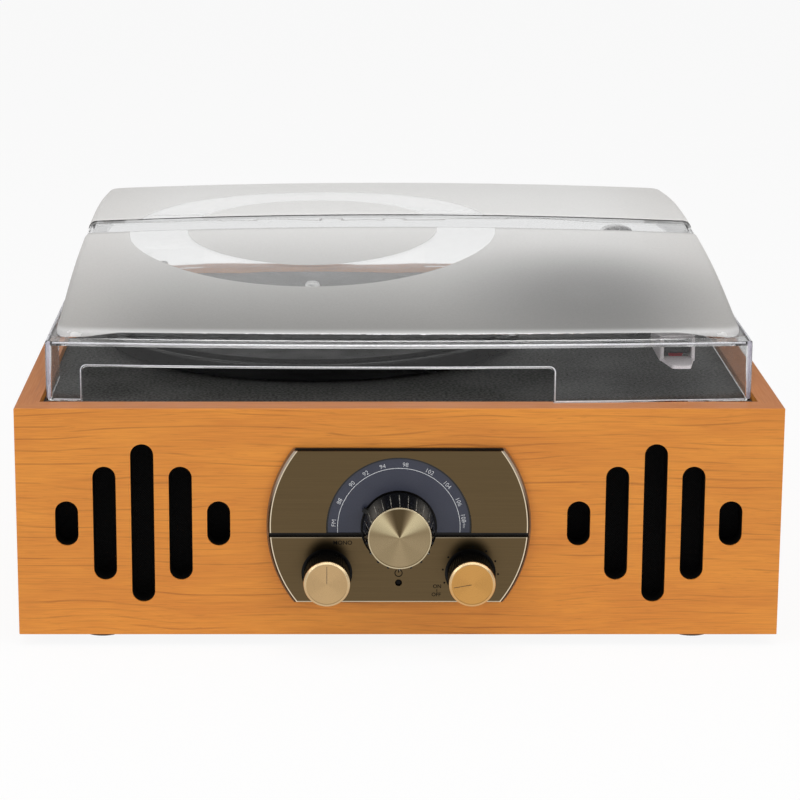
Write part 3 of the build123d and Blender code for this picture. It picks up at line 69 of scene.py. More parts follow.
# Places read from the frame
CASE_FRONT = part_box("front_board")[0].y
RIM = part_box("front_board")[1].z
PLATTER = middle("slip_mat")
DIAL = middle("tuning_cap")
DIAL_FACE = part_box("dial_plate")[0].y
PANEL_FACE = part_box("lower_panel")[0].y
PANEL_MIDDLE = middle("panel_frame")
SELECTOR = middle("function_knob")
VOLUME = middle("volume_knob")
SMALL_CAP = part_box("volume_knob")[1].x - VOLUME.x
PANEL_LOW, PANEL_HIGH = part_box("lower_panel")
PANEL_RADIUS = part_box("upper_panel")[1].x
COVER_LOW, COVER_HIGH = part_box("dust_cover")

# Sizes of the dust cover that its box doesn't give
LEDGE = COVER_LOW.z + 26.0 * MM
COVER_BOW = 6.0 * MM
COVER_WALL = 2.0 * MM
CROWN_ROUND = 4.0 * MM
STRIP_START = CASE_FRONT + 155.0 * MM
STRIP_END = STRIP_START + 25.0 * MM
NOTCH_LEFT = PLATTER.x - 98.5 * MM
NOTCH_RIGHT = PLATTER.x + 104.5 * MM
NOTCH_TOP = COVER_LOW.z + 15.4 * MM

# Lettering on the lower plate: the word, its height and the place of its middle, in millimetres
PANEL_WORDS = (("MONO", 2.6, -24.2, 47.9), ("ON", 2.3, 16.7, 28.2), ("OFF", 2.3, 16.3, 24.5))
PANEL_WORD_WEIGHT = 0.012
SWITCH_MARK = Vector((16.6 * MM, 0, 26.4 * MM))
POWER_SYMBOL = Vector((0, 0, 34.3 * MM))

# Marks of the dial, with their angles round the tuning knob in degrees
DIAL_MARKS = (
    ("FM", 176.0), ("88", 155.4), ("90", 136.2), ("92", 120.7), ("94", 104.6),
    ("98", 84.4), ("102", 62.3), ("104", 42.7), ("106", 24.1), ("108", 8.5),
)
UNIT_ANGLE = 1.8

# How often brush marks change along X, Y and Z of a metal, so that lines run where it is least
EVEN_STEEL = (900, 900, 900)
EVEN_SHEET = (700, 700, 700)
DRAWN_ALONG_Y = (900, 60, 900)
DRAWN_UPRIGHT = (900, 900, 60)
TURNED_FLAT = (60, 60, 900)
ARM_LENGTHWISE = (700, 40, 700)


# Colours and node helpers
def colour(red, green, blue):
    """A screen colour from 0 to 255 as the linear colour that a shader takes."""
    linear = []
    for channel in (red, green, blue):
        share = channel / 255
        linear.append(share / 12.92 if share <= 0.04045 else ((share + 0.055) / 1.055) ** 2.4)
    return (*linear, 1.0)


def darkened(paint, share):
    """The same colour with this share of its light."""
    return tuple(channel * share for channel in paint[:3]) + (1.0,)


class Tree:
    """Adds nodes to one node tree and joins them."""

    def __init__(self, tree):
        self.tree = tree

    def add(self, kind, inputs=None, **settings):
        node = self.tree.nodes.new(kind)
        for name, value in settings.items():
            setattr(node, name, value)
        for name, value in (inputs or {}).items():
            self.feed(node.inputs[name], value)
        return node

    def feed(self, socket, value):
        if isinstance(value, bpy.types.NodeSocket):
            self.tree.links.new(value, socket)
        else:
            socket.default_value = value

    def math(self, operation, *values):
        node = self.add("ShaderNodeMath", operation=operation)
        for socket, value in zip(node.inputs, values):
            self.feed(socket, value)
        return node.outputs[0]

    def plus(self, first, second):
        return self.math("ADD", first, second)

    def minus(self, first, second):
        return self.math("SUBTRACT", first, second)

    def times(self, first, second):
        return self.math("MULTIPLY", first, second)

    def absolute(self, value):
        return self.math("ABSOLUTE", value)

    def vector(self, operation, first, second=None):
        node = self.add("ShaderNodeVectorMath", operation=operation)
        self.feed(node.inputs[0], first)
        if second is not None:
            self.feed(node.inputs[1], second)
        return node.outputs["Value" if operation in ("LENGTH", "DOT_PRODUCT") else "Vector"]

    def stretched(self, vector, x, y, z):
        return self.vector("MULTIPLY", vector, (x, y, z))

    def combine(self, **axes):
        return self.add("ShaderNodeCombineXYZ", axes).outputs[0]

    def split(self, vector):
        return self.add("ShaderNodeSeparateXYZ", {0: vector}).outputs

    def blend(self, share, first, second):
        """One colour over another by a share from 0 to 1."""
        node = self.add("ShaderNodeMix", data_type="RGBA")
        for index, value in ((0, share), (6, first), (7, second)):
            self.feed(node.inputs[index], value)
        return node.outputs[2]

    def layers(self, base, *coats):
        """A base colour under coats, each a share and a colour."""
        for share, paint in coats:
            base = self.blend(share, base, paint)
        return base

    def ramp(self, value, start, end, low=0.0, high=1.0):
        """A value carried from one range to another, with soft ends."""
        inputs = {"Value": value, "From Min": start, "From Max": end, "To Min": low, "To Max": high}
        return self.add("ShaderNodeMapRange", inputs, interpolation_type="SMOOTHSTEP").outputs[0]

    def fall(self, value, start, end, high=1.0):
        """A share that goes down to nothing between two values."""
        return self.ramp(value, start, end, high, 0.0)

    def band(self, value, start, full, fade, end):
        """A share that is whole between two values and has soft flanks."""
        return self.times(self.ramp(value, start, full), self.fall(value, fade, end))

    def noise(self, vector, scale=1.0, detail=2.0, roughness=0.5):
        inputs = {"Vector": vector, "Scale": scale, "Detail": detail, "Roughness": roughness}
        return self.add("ShaderNodeTexNoise", inputs).outputs[0]

    def group(self, name, **values):
        node = self.add("ShaderNodeGroup", node_tree=bpy.data.node_groups[name])
        for key, value in values.items():
            self.feed(node.inputs[key.replace("_", " ").title()], value)
        return node.outputs


FLOAT, VECTOR, COLOUR = "NodeSocketFloat", "NodeSocketVector", "NodeSocketColor"


def shared_effect(name, outputs, colours=(), **numbers):
    """An empty shader group that reads a vector, colours and numbers, and the tools to fill it."""
    tree = bpy.data.node_groups.new(name, "ShaderNodeTree")
    tree.interface.new_socket("Vector", in_out="INPUT", socket_type=VECTOR)
    for title in colours:
        tree.interface.new_socket(title, in_out="INPUT", socket_type=COLOUR)
    for title, default in numbers.items():
        socket = tree.interface.new_socket(title, in_out="INPUT", socket_type=FLOAT)
        socket.default_value = default
    for title in outputs:
        kind = COLOUR if title == "Color" else FLOAT
        tree.interface.new_socket(title, in_out="OUTPUT", socket_type=kind)
    tools = Tree(tree)
    return tools, tools.add("NodeGroupInput").outputs, tools.add("NodeGroupOutput").inputs


def make_veneer():
    """Wood with fibres, a soft figure, wandering grain lines and pores, along X."""
    t, given, out = shared_effect(
        "Veneer", ("Color", "Roughness", "Height"), colours=("Light", "Dark", "Streak")
    )
    line_pitch = 0.0029
    place = given["Vector"]
    wander = t.noise(t.stretched(place, 9, 26, 26), detail=2)
    shift = t.times(t.minus(wander, 0.5), 0.009)
    bent = t.vector("ADD", place, t.combine(Y=shift, Z=shift))
    fibre = t.noise(t.stretched(place, 60, 2100, 2100), detail=3)
    figure = t.noise(t.stretched(bent, 14, 75, 75), detail=3, roughness=0.6)
    across = t.split(bent)
    level = t.plus(across["Z"], across["Y"])
    drift = t.times(t.noise(t.stretched(place, 2, 60, 60)), 12.0)
    turns = t.plus(t.times(level, 2 * pi / line_pitch), drift)
    crest = t.ramp(t.math("SINE", turns), 0.55, 1.0)
    reach = t.ramp(t.noise(t.stretched(place, 12, 360, 360), detail=3), 0.44, 0.66)
    line = t.times(crest, reach)
    pore = t.ramp(t.noise(t.stretched(bent, 110, 2600, 2600), detail=1), 0.60, 0.76)
    tone = t.plus(t.ramp(figure, 0.3, 0.7, 0.0, 0.5), t.ramp(fibre, 0.3, 0.7, 0.0, 0.5))
    wood = t.layers(
        t.blend(tone, given["Light"], given["Dark"]),
        (t.times(line, 0.45), given["Streak"]),
        (t.times(pore, 0.22), given["Streak"]),
    )
    t.feed(out["Color"], wood)
    t.feed(out["Roughness"], t.ramp(fibre, 0.3, 0.7, 0.40, 0.52))
    t.feed(out["Height"], t.minus(fibre, t.times(line, 0.8)))


def make_brushing():
    """Brush lines along the axis of the least stretch."""
    t, given, out = shared_effect(
        "Brushing", ("Roughness", "Height", "Shade"), Low=0.25, High=0.4
    )
    fine = t.noise(given["Vector"], detail=2)
    coarse = t.noise(t.stretched(given["Vector"], 0.4, 0.22, 0.22), detail=1)
    t.feed(out["Roughness"], t.ramp(coarse, 0.3, 0.7, given["Low"], given["High"]))
    t.feed(out["Height"], t.plus(fine, t.times(coarse, 0.6)))
    t.feed(out["Shade"], t.ramp(fine, 0.25, 0.75))


def make_moulded_texture():
    """The fine grain of a moulded or painted surface, with a wide mottle in its gloss."""
    t, given, out = shared_effect(
        "Moulded Texture", ("Roughness", "Height", "Shade"), Scale=1500.0, Low=0.4, High=0.6
    )
    grain = t.noise(given["Vector"], given["Scale"], detail=2)
    mottle = t.noise(given["Vector"], t.times(given["Scale"], 0.04), detail=2)
    t.feed(out["Roughness"], t.ramp(mottle, 0.3, 0.7, given["Low"], given["High"]))
    t.feed(out["Height"], grain)
    t.feed(out["Shade"], t.ramp(grain, 0.35, 0.65))


def make_weave():
    """Threads that cross over and under each other at a pitch."""
    t, given, out = shared_effect("Weave", ("Height", "Shade"), Pitch=0.0012)
    axes = t.split(given["Vector"])
    turns = t.math("DIVIDE", 2 * pi, given["Pitch"])
    across = t.math("SINE", t.times(axes["X"], turns))
    along = t.math("SINE", t.times(axes["Z"], turns))
    knit = t.times(across, along)
    t.feed(out["Height"], knit)
    t.feed(out["Shade"], t.ramp(knit, -0.6, 0.8))


class Finish(Tree):
    """A material with one principled shader, whose place input is Object coordinates."""

    def __init__(self, name, **constants):
        self.material = bpy.data.materials.new(name)
        self.material.use_nodes = True
        super().__init__(self.material.node_tree)
        self.shader = self.tree.nodes["Principled BSDF"]
        self.place = self.add("ShaderNodeTexCoord").outputs["Object"]
        for key, value in constants.items():
            self.set(key, value)

    def set(self, key, value):
        self.feed(self.shader.inputs[key.replace("_", " ")], value)

    def bump(self, height, distance, strength=1.0):
        inputs = {"Height": height, "Distance": distance, "Strength": strength}
        self.set("Normal", self.add("ShaderNodeBump", inputs).outputs["Normal"])

    def moulded(self, scale, low, high):
        """Gives the surface the gloss of the moulded texture, and its other outputs."""
        grain = self.group("Moulded Texture", vector=self.place, scale=scale, low=low, high=high)
        self.set("Roughness", grain["Roughness"])
        return grain

    def mix_surface(self, share, other):
        """Shows another shader in place of the material's own by a share."""
        joined = self.add("ShaderNodeMixShader")
        for socket, value in zip(joined.inputs, (share, self.shader.outputs[0], other.outputs[0])):
            self.feed(socket, value)
        self.feed(self.tree.nodes["Material Output"].inputs["Surface"], joined.outputs[0])

    def scaled(self, x, y, z):
        return self.stretched(self.place, x, y, z)

    def offset(self, centre):
        return self.vector("SUBTRACT", self.place, tuple(centre))

    def around(self, centre, upright=False):
        """Distance from an axis through this point, along Y or upright."""
        across = (1, 1, 0) if upright else (1, 0, 1)
        return self.vector("LENGTH", self.stretched(self.offset(centre), *across))

    def bearing(self, centre):
        """Angle from straight up, round an axis along Y through this point."""
        axes = self.split(self.offset(centre))
        return self.math("ARCTAN2", axes["X"], axes["Z"])


# Pieces and their meshes
def dress(finish, *names):
    """Gives carried-over nodes a finish."""
    for name in names:
        mesh = NODES[name].data
        mesh.materials.clear()
        mesh.materials.append(finish.material)


def new_object(name, data):
    """An object linked to the scene."""
    made = bpy.data.objects.new(name, data)
    bpy.context.scene.collection.objects.link(made)
    return made


def plain_mesh(holder):
    """The evaluated shape of a text or of a geometry tree as a mesh of its own."""
    bpy.context.view_layer.update()
    return bpy.data.meshes.new_from_object(
        holder.evaluated_get(bpy.context.evaluated_depsgraph_get())
    )


def add_piece(name, mesh, body):
    """A mesh as a piece that rides on its body."""
    piece = new_object(name, mesh)
    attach(piece, body)
    return piece


def add_mesh(name, bm, finish, body, smooth=False):
    """A finished piece from a bmesh."""
    mesh = bpy.data.meshes.new(name)
    bm.to_mesh(mesh)
    bm.free()
    mesh.materials.append(finish.material)
    if smooth:
        mesh.shade_smooth()
    return add_piece(name, mesh, body)


def printed_text(bm, text, size, place, weight=-0.014):
    """Adds raised lettering to a bmesh. Its face lies in XY before it goes to its place."""
    curve = bpy.data.curves.new("lettering", "FONT")
    curve.body = text
    curve.size = size
    curve.align_x = "CENTER"
    curve.align_y = "CENTER"
    curve.resolution_u = 3
    curve.offset = weight * size
    curve.extrude = PRINT_HEIGHT / 2
    holder = new_object("lettering", curve)
    shape = plain_mesh(holder)
    shape.transform(place)
    bm.from_mesh(shape)
    bpy.data.objects.remove(holder)
    bpy.data.curves.remove(curve)
    bpy.data.meshes.remove(shape)


def on_front(x, z, face, turn=0.0):
    """The place of a print that faces the front, on a face at this depth."""
    return (
        Matrix.Translation((x, face - PRINT_HEIGHT / 2 - LIFT, z))
        @ Matrix.Rotation(-turn, 4, "Y")
        @ Matrix.Rotation(pi / 2, 4, "X")
    )


def add_box(bm, place, width, depth, height):
    """Adds a box of these full sizes, centred on the place."""
    bmesh.ops.create_cube(bm, size=1.0, matrix=place @ Matrix.Diagonal((width, depth, height, 1)))


def bridge(bm, rings):
    """Joins closed rings that have as many points each, and gives the new faces."""
    faces = []
    for first, second in zip(rings, rings[1:]):
        for index in range(len(first)):
            after = (index + 1) % len(first)
            faces.append(bm.faces.new((first[index], first[after], second[after], second[index])))
    return faces


def add_arc_band(bm, centre, face, inner, outer, start, end, steps):
    """Adds a raised band between two radii, on an upright face."""
    back = face - LIFT
    front = face - LIFT - PRINT_HEIGHT
    rings = []
    for index in range(steps + 1):
        angle = start + (end - start) * index / steps
        rings.append([
            bm.verts.new((centre.x + radius * cos(angle), y, centre.z + radius * sin(angle)))
            for radius, y in ((inner, back), (outer, back), (outer, front), (inner, front))
        ])
    bridge(bm, rings)
    bm.faces.new(rings[0][::-1])
    bm.faces.new(rings[-1])
    bmesh.ops.recalc_face_normals(bm, faces=bm.faces[:])


def add_tube(bm, points, radius, sides=10):
    """Adds a closed tube along points that don't run straight along (1, 1, 1)."""
    rings = []
    for index, point in enumerate(points):
        before = points[max(index - 1, 0)]
        after = points[min(index + 1, len(points) - 1)]
        run = (after - before).normalized()
        across = run.cross(Vector((1, 1, 1))).normalized()
        up = run.cross(across)
        angles = [2 * pi * side / sides for side in range(sides)]
        rings.append([
            bm.verts.new(point + radius * (across * cos(angle) + up * sin(angle)))
            for angle in angles
        ])
    faces = [bm.faces.new(rings[0]), bm.faces.new(rings[-1])]
    faces += bridge(bm, rings)
    bmesh.ops.recalc_face_normals(bm, faces=faces)


def add_turned(bm, profile, centre, steps):
    """Adds a shape turned about an axis along Y, from points of radius and depth."""
    rings = []
    for radius, y in profile:
        angles = [2 * pi * index / steps for index in range(steps if radius else 1)]
        rings.append([
            bm.verts.new((centre.x + radius * cos(angle), y, centre.z + radius * sin(angle)))
            for angle in angles
        ])
    for first, second in zip(rings, rings[1:]):
        for index in range(steps):
            after = (index + 1) % steps
            corners = []
            for ring, spot in ((first, index), (first, after), (second, after), (second, index)):
                vertex = ring[spot % len(ring)]
                if vertex not in corners:
                    corners.append(vertex)
            bm.faces.new(corners)
    bmesh.ops.recalc_face_normals(bm, faces=bm.faces[:])


# Settings that a user would change
class CabinetSettings(bpy.types.PropertyGroup):
    light_wood: bpy.props.FloatVectorProperty(
        name="Light Wood", description="Veneer between its streaks",
        subtype="COLOR", size=4, default=colour(233, 151, 58), min=0, max=1)
    dark_wood: bpy.props.FloatVectorProperty(
        name="Dark Wood", description="Veneer in its darker bands",
        subtype="COLOR", size=4, default=colour(212, 130, 51), min=0, max=1)
    streak_wood: bpy.props.FloatVectorProperty(
        name="Streaks", description="Thin lines of the grain",
        subtype="COLOR", size=4, default=colour(150, 80, 32), min=0, max=1)


class PanelSettings(bpy.types.PropertyGroup):
    number_size: bpy.props.FloatProperty(
        name="Number Size", description="Height of the lettering on the dial",
        subtype="DISTANCE", default=2.7 * MM, min=0.001)
    scale_radius: bpy.props.FloatProperty(
        name="Scale Radius", description="Radius of the dial's white line",
        subtype="DISTANCE", default=26.4 * MM, min=0.01)
    number_radius: bpy.props.FloatProperty(
        name="Number Radius", description="Radius on which the dial's numbers stand",
        subtype="DISTANCE", default=28.0 * MM, min=0.01)
    metal: bpy.props.FloatVectorProperty(
        name="Plate Metal", description="Colour of the brushed plates",
        subtype="COLOR", size=4, default=(0.130, 0.089, 0.044, 1), min=0, max=1)


class CoverSettings(bpy.types.PropertyGroup):
    ring_inner: bpy.props.FloatProperty(
        name="Clear Ring Inside", description="Inner radius of the clear ring over the platter",
        subtype="DISTANCE", default=60 * MM, min=0.01)
    ring_outer: bpy.props.FloatProperty(
        name="Clear Ring Outside", description="Outer radius of the clear ring over the platter",
        subtype="DISTANCE", default=88 * MM, min=0.01)
    haze: bpy.props.FloatProperty(
        name="Haze", description="How much the frosted skin hides what lies behind it",
        subtype="FACTOR", default=0.68, min=0, max=1)


class StageSettings(bpy.types.PropertyGroup):
    lens: bpy.props.FloatProperty(
        name="Lens", description="Focal length of the camera in millimetres",
        default=115.3, min=10)
    pitch: bpy.props.FloatProperty(
        name="Pitch", description="How far the camera looks down",
        subtype="ANGLE", default=radians(12.33))
    key_power: bpy.props.FloatProperty(
        name="Key Light", description="Power of the large lamp above the front",
        subtype="POWER", default=8.0, min=0)
    side_power: bpy.props.FloatProperty(
        name="Side Lights", description="Power of the lamps at both sides",
        subtype="POWER", default=5.5, min=0)
    world_strength: bpy.props.FloatProperty(
        name="Surroundings", description="Strength of the even light from all round",
        default=0.34, min=0)


SETTINGS = {
    "cabinet": CabinetSettings,
    "panel": PanelSettings,
    "cover": CoverSettings,
    "stage": StageSettings,
}


def settings(context, name):
    return getattr(context.scene, "record_player_" + name)


def plastic(name, paint, low=0.35, high=0.5, scale=2200.0, depth=0.02 * MM, **constants):
    """A moulded plastic or paint with a fine texture."""
    t = Finish(name, **constants)
    grain = t.moulded(scale, low, high)
    t.set("Base_Color", t.blend(grain["Shade"], darkened(paint, 0.82), paint))
    t.bump(grain["Height"], depth, 0.5)
    return t


def metal(name, paint, stretch, low=0.25, high=0.4, depth=0.01 * MM, **constants):
    """A metal with brush lines that run along the axis of the least stretch."""
    t = Finish(name, Metallic=1.0, **constants)
    lines = t.group("Brushing", vector=t.scaled(*stretch), low=low, high=high)
    t.set("Base_Color", t.blend(lines["Shade"], darkened(paint, 0.8), paint))
    t.set("Roughness", lines["Roughness"])
    t.bump(lines["Height"], depth, 0.4)
    return t


class RECORDPLAYER_OT_cabinet(bpy.types.Operator):
    """Veneers the case, paints the cut slots and finishes the boards inside"""

    bl_idname = "record_player.cabinet"
    bl_label = "Cabinet"

    def veneer(self, values, name, along_y=False, cut_inside=False):
        """Lacquered veneer with a darker top edge, and cuts painted black where asked."""
        top_edge = colour(176, 112, 78)
        cut_paint = colour(12, 11, 10)
        cut_start = CASE_FRONT + 0.7 * MM
        cut_full = CASE_FRONT + 1.0 * MM
        t = Finish(name, Coat_Weight=0.12, Coat_Roughness=0.28, Specular_IOR_Level=0.3)
        axes = t.split(t.place)
        wood = t.group(
            "Veneer",
            vector=t.combine(X=axes["Y"], Y=axes["X"], Z=axes["Z"]) if along_y else t.place,
            light=tuple(values.light_wood),
            dark=tuple(values.dark_wood),
            streak=tuple(values.streak_wood),
        )
        top = t.ramp(axes["Z"], RIM - 0.5 * MM, RIM - 0.1 * MM)
        surface = t.blend(top, wood["Color"], t.blend(0.62, wood["Color"], top_edge))
        if cut_inside:
            inside = t.ramp(axes["Y"], cut_start, cut_full)
            surface = t.blend(t.times(inside, t.minus(1.0, top)), surface, cut_paint)
        t.set("Base_Color", surface)
        t.set("Roughness", wood["Roughness"])
        t.bump(wood["Height"], 0.04 * MM, 0.35)
        return t

    def execute(self, context):
        values = settings(context, "cabinet")
        dress(self.veneer(values, "front_veneer", cut_inside=True), "front_board")
        dress(self.veneer(values, "rear_veneer"), "rear_board")
        dress(self.veneer(values, "side_veneer", along_y=True), "left_board", "right_board")
        dress(plastic("fibreboard", colour(150, 118, 82), 0.7, 0.85, 900), "bottom_board")
        dress(plastic("block_wood", colour(190, 150, 105), 0.6, 0.75, 700), "corner_blocks")
        dress(plastic("foot_rubber", colour(24, 24, 25), 0.6, 0.75, 1500), "rubber_feet")
        return {"FINISHED"}


class RECORDPLAYER_OT_fasteners(bpy.types.Operator):
    """Finishes the screws"""

    bl_idname = "record_player.fasteners"
    bl_label = "Screws"

    def execute(self, context):
        black = metal("blackened_steel", (0.03, 0.03, 0.032, 1), EVEN_STEEL, 0.3, 0.45)
        zinc = metal("zinc_steel", (0.5, 0.5, 0.48, 1), EVEN_STEEL, 0.25, 0.4)
        dress(black, "case_screws", "deck_screws")
        dress(zinc, "speaker_screws", "fitting_screws", "board_screws")
        return {"FINISHED"}


class RECORDPLAYER_OT_speakers(bpy.types.Operator):
    """Finishes the cloth behind the slots and the two speakers"""

    bl_idname = "record_player.speakers"
    bl_label = "Speakers"

    def cloth(self):
        """Black cloth, a little lighter on top of its threads."""
        t = Finish("speaker_cloth", Specular_IOR_Level=0.2)
        weave = t.group("Weave", vector=t.place, pitch=1.1 * MM)
        t.set("Base_Color", t.blend(weave["Shade"], colour(3, 3, 3), colour(14, 14, 14)))
        t.set("Roughness", t.ramp(weave["Shade"], 0, 1, 0.95, 0.8))
        t.bump(weave["Height"], 0.15 * MM, 0.6)
        return t

    def execute(self, context):
        dress(self.cloth(), "grille_cloths")
        dress(plastic("cone_paper", colour(40, 39, 37), 0.7, 0.9, 1200), "speaker_cones")
        dress(plastic("magnet_ferrite", colour(58, 57, 56), 0.5, 0.7, 1800), "speaker_magnets")
        dress(metal("basket_steel", (0.12, 0.12, 0.12, 1), EVEN_SHEET), "speaker_baskets")
        return {"FINISHED"}


class RECORDPLAYER_OT_panel(bpy.types.Operator):
    """Brushes the two metal plates and prints their labels"""

    bl_idname = "record_player.panel"
    bl_label = "Radio Panel"

    def bronze(self, paint):
        """Brushed bronze with painted highlights along its foot and top lip, a bright line inside
        the bevel, a bevel painted dark below and light above, and the small knobs' painted dark
        reflections over them.
        """
        # Painted highlights along the foot and the top lip of the lower plate
        lit_foot = (0.55, 0.47, 0.34, 1)
        lit_lip = (0.5, 0.42, 0.3, 1)
        lit_line = (0.80, 0.68, 0.50, 1)
        # Painted shade and painted light on the bevel: dark low down, light high up, standing in
        # for what it reflects
        bevel_painted_shade = (0.07, 0.045, 0.025, 1)
        lit_side = (0.62, 0.56, 0.48, 1)
        # Painted dark reflections of the small knobs on the plate above them
        knob_shade = (0.006, 0.005, 0.003, 1)
        reflection_rise = Vector((0, 0, 7.5 * MM))
        edge = PANEL_RADIUS
        low, high = PANEL_LOW.z, PANEL_HIGH.z
        t = Finish("brushed_bronze", Metallic=1.0)
        lines = t.group("Brushing", vector=t.scaled(30, 1, 5200), low=0.30, high=0.36)
        radius = t.around(PANEL_MIDDLE)
        height = t.split(t.place)["Z"]
        line = t.band(radius, edge - 1.22 * MM, edge - 1.1 * MM, edge - 0.78 * MM, edge - 0.7 * MM)
        lip = t.band(height, high - 0.4 * MM, high - 0.3 * MM, high + 0.1 * MM, high + 0.2 * MM)
        # Painted dark reflections, fading out round a point above each small knob
        reflections = [
            t.fall(t.around(knob + reflection_rise), 5 * MM, 10.5 * MM, 0.9)
            for knob in (SELECTOR, VOLUME)
        ]
        face = t.layers(
            t.blend(lines["Shade"], darkened(paint, 0.90), paint),
            (t.fall(height, low + 0.3 * MM, low + 0.5 * MM), lit_foot),
            (t.times(lip, 0.5), lit_lip),
            (line, lit_line),
            *((reflection, knob_shade) for reflection in reflections),
        )
        # The bevel's colour carries the painted shade low down and the painted light high up
        upward = t.ramp(height, PANEL_MIDDLE.z + 8 * MM, PANEL_MIDDLE.z + 24 * MM)
        side = t.blend(upward, bevel_painted_shade, lit_side)
        bevel = t.ramp(radius, edge - 0.72 * MM, edge - 0.65 * MM)
        t.set("Base_Color", t.blend(bevel, face, side))
        t.set("Roughness", lines["Roughness"])
        t.bump(lines["Height"], 0.008 * MM, 0.25)
        return t

    def frame_plastic(self):
        """Black plastic, brown where it shows outside the plates, painted as the wood's shade
        there.
        """
        t = Finish("frame_plastic", Specular_IOR_Level=0.3)
        grain = t.moulded(2200.0, 0.35, 0.5)
        outer = t.ramp(t.around(PANEL_MIDDLE), PANEL_RADIUS - 0.1 * MM, PANEL_RADIUS)
        # Painted shade: brown that stands in for the wood in shade beside the plates
        brown = t.blend(grain["Shade"], colour(132, 90, 54), colour(150, 104, 64))
        t.set("Base_Color", t.blend(outer, colour(13, 10, 8), brown))
        t.bump(grain["Height"], 0.02 * MM, 0.5)
        return t

    def print_bar(self, bm, centre, width, height):
        """Adds an upright printed bar."""
        place = Matrix.Translation((centre.x, PANEL_FACE - LIFT - PRINT_HEIGHT / 2, centre.z))
        add_box(bm, place, width, PRINT_HEIGHT, height)

    def execute(self, context):
        dress(self.bronze(tuple(settings(context, "panel").metal)), "upper_panel", "lower_panel")
        dress(self.frame_plastic(), "panel_frame")
        bm = bmesh.new()
        for text, size, x, z in PANEL_WORDS:
            place = on_front(x * MM, z * MM, PANEL_FACE)
            printed_text(bm, text, size * MM, place, PANEL_WORD_WEIGHT)
        self.print_bar(bm, SWITCH_MARK, 0.3 * MM, 1.2 * MM)
        add_arc_band(
            bm, POWER_SYMBOL, PANEL_FACE, 1.35 * MM, 1.75 * MM, radians(125), radians(415), 24
        )
        self.print_bar(bm, POWER_SYMBOL + Vector((0, 0, 1.2 * MM)), 0.42 * MM, 2.0 * MM)
        ink = plastic("label_ink", colour(12, 10, 8), 0.7, 0.8, Specular_IOR_Level=0.1)
        add_mesh("panel_labels", bm, ink, "root")
        return {"FINISHED"}


MARK_SOCKETS = {
    "Centre": VECTOR,
    "Radius": FLOAT,
    "Count": "NodeSocketInt",
    "Start": FLOAT,
    "Sweep": FLOAT,
    "Size": VECTOR,
}


def mark_tree(name, finish, as_discs):
    """A geometry tree that sets marks at even steps round an axis along Y, and its sockets."""
    geometry = "NodeSocketGeometry"
    tree = bpy.data.node_groups.new(name, "GeometryNodeTree")
    tree.interface.new_socket("Geometry", in_out="INPUT", socket_type=geometry)
    sockets = [
        tree.interface.new_socket(title, in_out="INPUT", socket_type=kind)
        for title, kind in MARK_SOCKETS.items()
    ]
    tree.interface.new_socket("Geometry", in_out="OUTPUT", socket_type=geometry)
    t = Tree(tree)
    given = t.add("NodeGroupInput").outputs
    points = t.add("GeometryNodePoints", {"Count": given["Count"]})
    index = t.add("GeometryNodeInputIndex").outputs[0]
    step = t.math("DIVIDE", given["Sweep"], given["Count"])
    angle = t.plus(given["Start"], t.times(step, index))
    across = t.times(t.math("COSINE", angle), given["Radius"])
    upward = t.times(t.math("SINE", angle), given["Radius"])
    spot = t.vector("ADD", t.combine(X=across, Z=upward), given["Centre"])
    placed = t.add("GeometryNodeSetPosition", {"Geometry": points.outputs[0], "Position": spot})
    if as_discs:
        size = t.split(given["Size"])
        sizes = {"Vertices": 16, "Radius": size["X"], "Depth": size["Y"]}
        disc = t.add("GeometryNodeMeshCylinder", sizes).outputs["Mesh"]
        faced = {"Geometry": disc, "Rotation": (pi / 2, 0, 0)}
        mark = t.add("GeometryNodeTransform", faced).outputs[0]
    else:
        mark = t.add("GeometryNodeMeshCube", {"Size": given["Size"]}).outputs["Mesh"]
    turn = t.combine(Y=t.times(angle, -1.0))
    spread = {"Points": placed.outputs[0], "Instance": mark, "Rotation": turn}
    copies = t.add("GeometryNodeInstanceOnPoints", spread)
    real = t.add("GeometryNodeRealizeInstances", {"Geometry": copies.outputs[0]})
    coat = {"Geometry": real.outputs[0], "Material": finish.material}
    painted = t.add("GeometryNodeSetMaterial", coat)
    t.feed(t.add("NodeGroupOutput").inputs[0], painted.outputs[0])
    return tree, sockets


def ring_of_marks(name, values, finish, body, as_discs=False):
    """A piece made of marks round an axis along Y. The values follow MARK_SOCKETS."""
    tree, sockets = mark_tree(name, finish, as_discs)
    source = new_object(name + "_source", bpy.data.meshes.new(name + "_source"))
    modifier = source.modifiers.new("marks", "NODES")
    modifier.node_group = tree
    for socket, value in zip(sockets, values):
        modifier[socket.identifier] = value
    mesh = plain_mesh(source)
    source.modifiers.clear()
    bpy.data.objects.remove(source)
    mesh.name = name
    return add_piece(name, mesh, body)


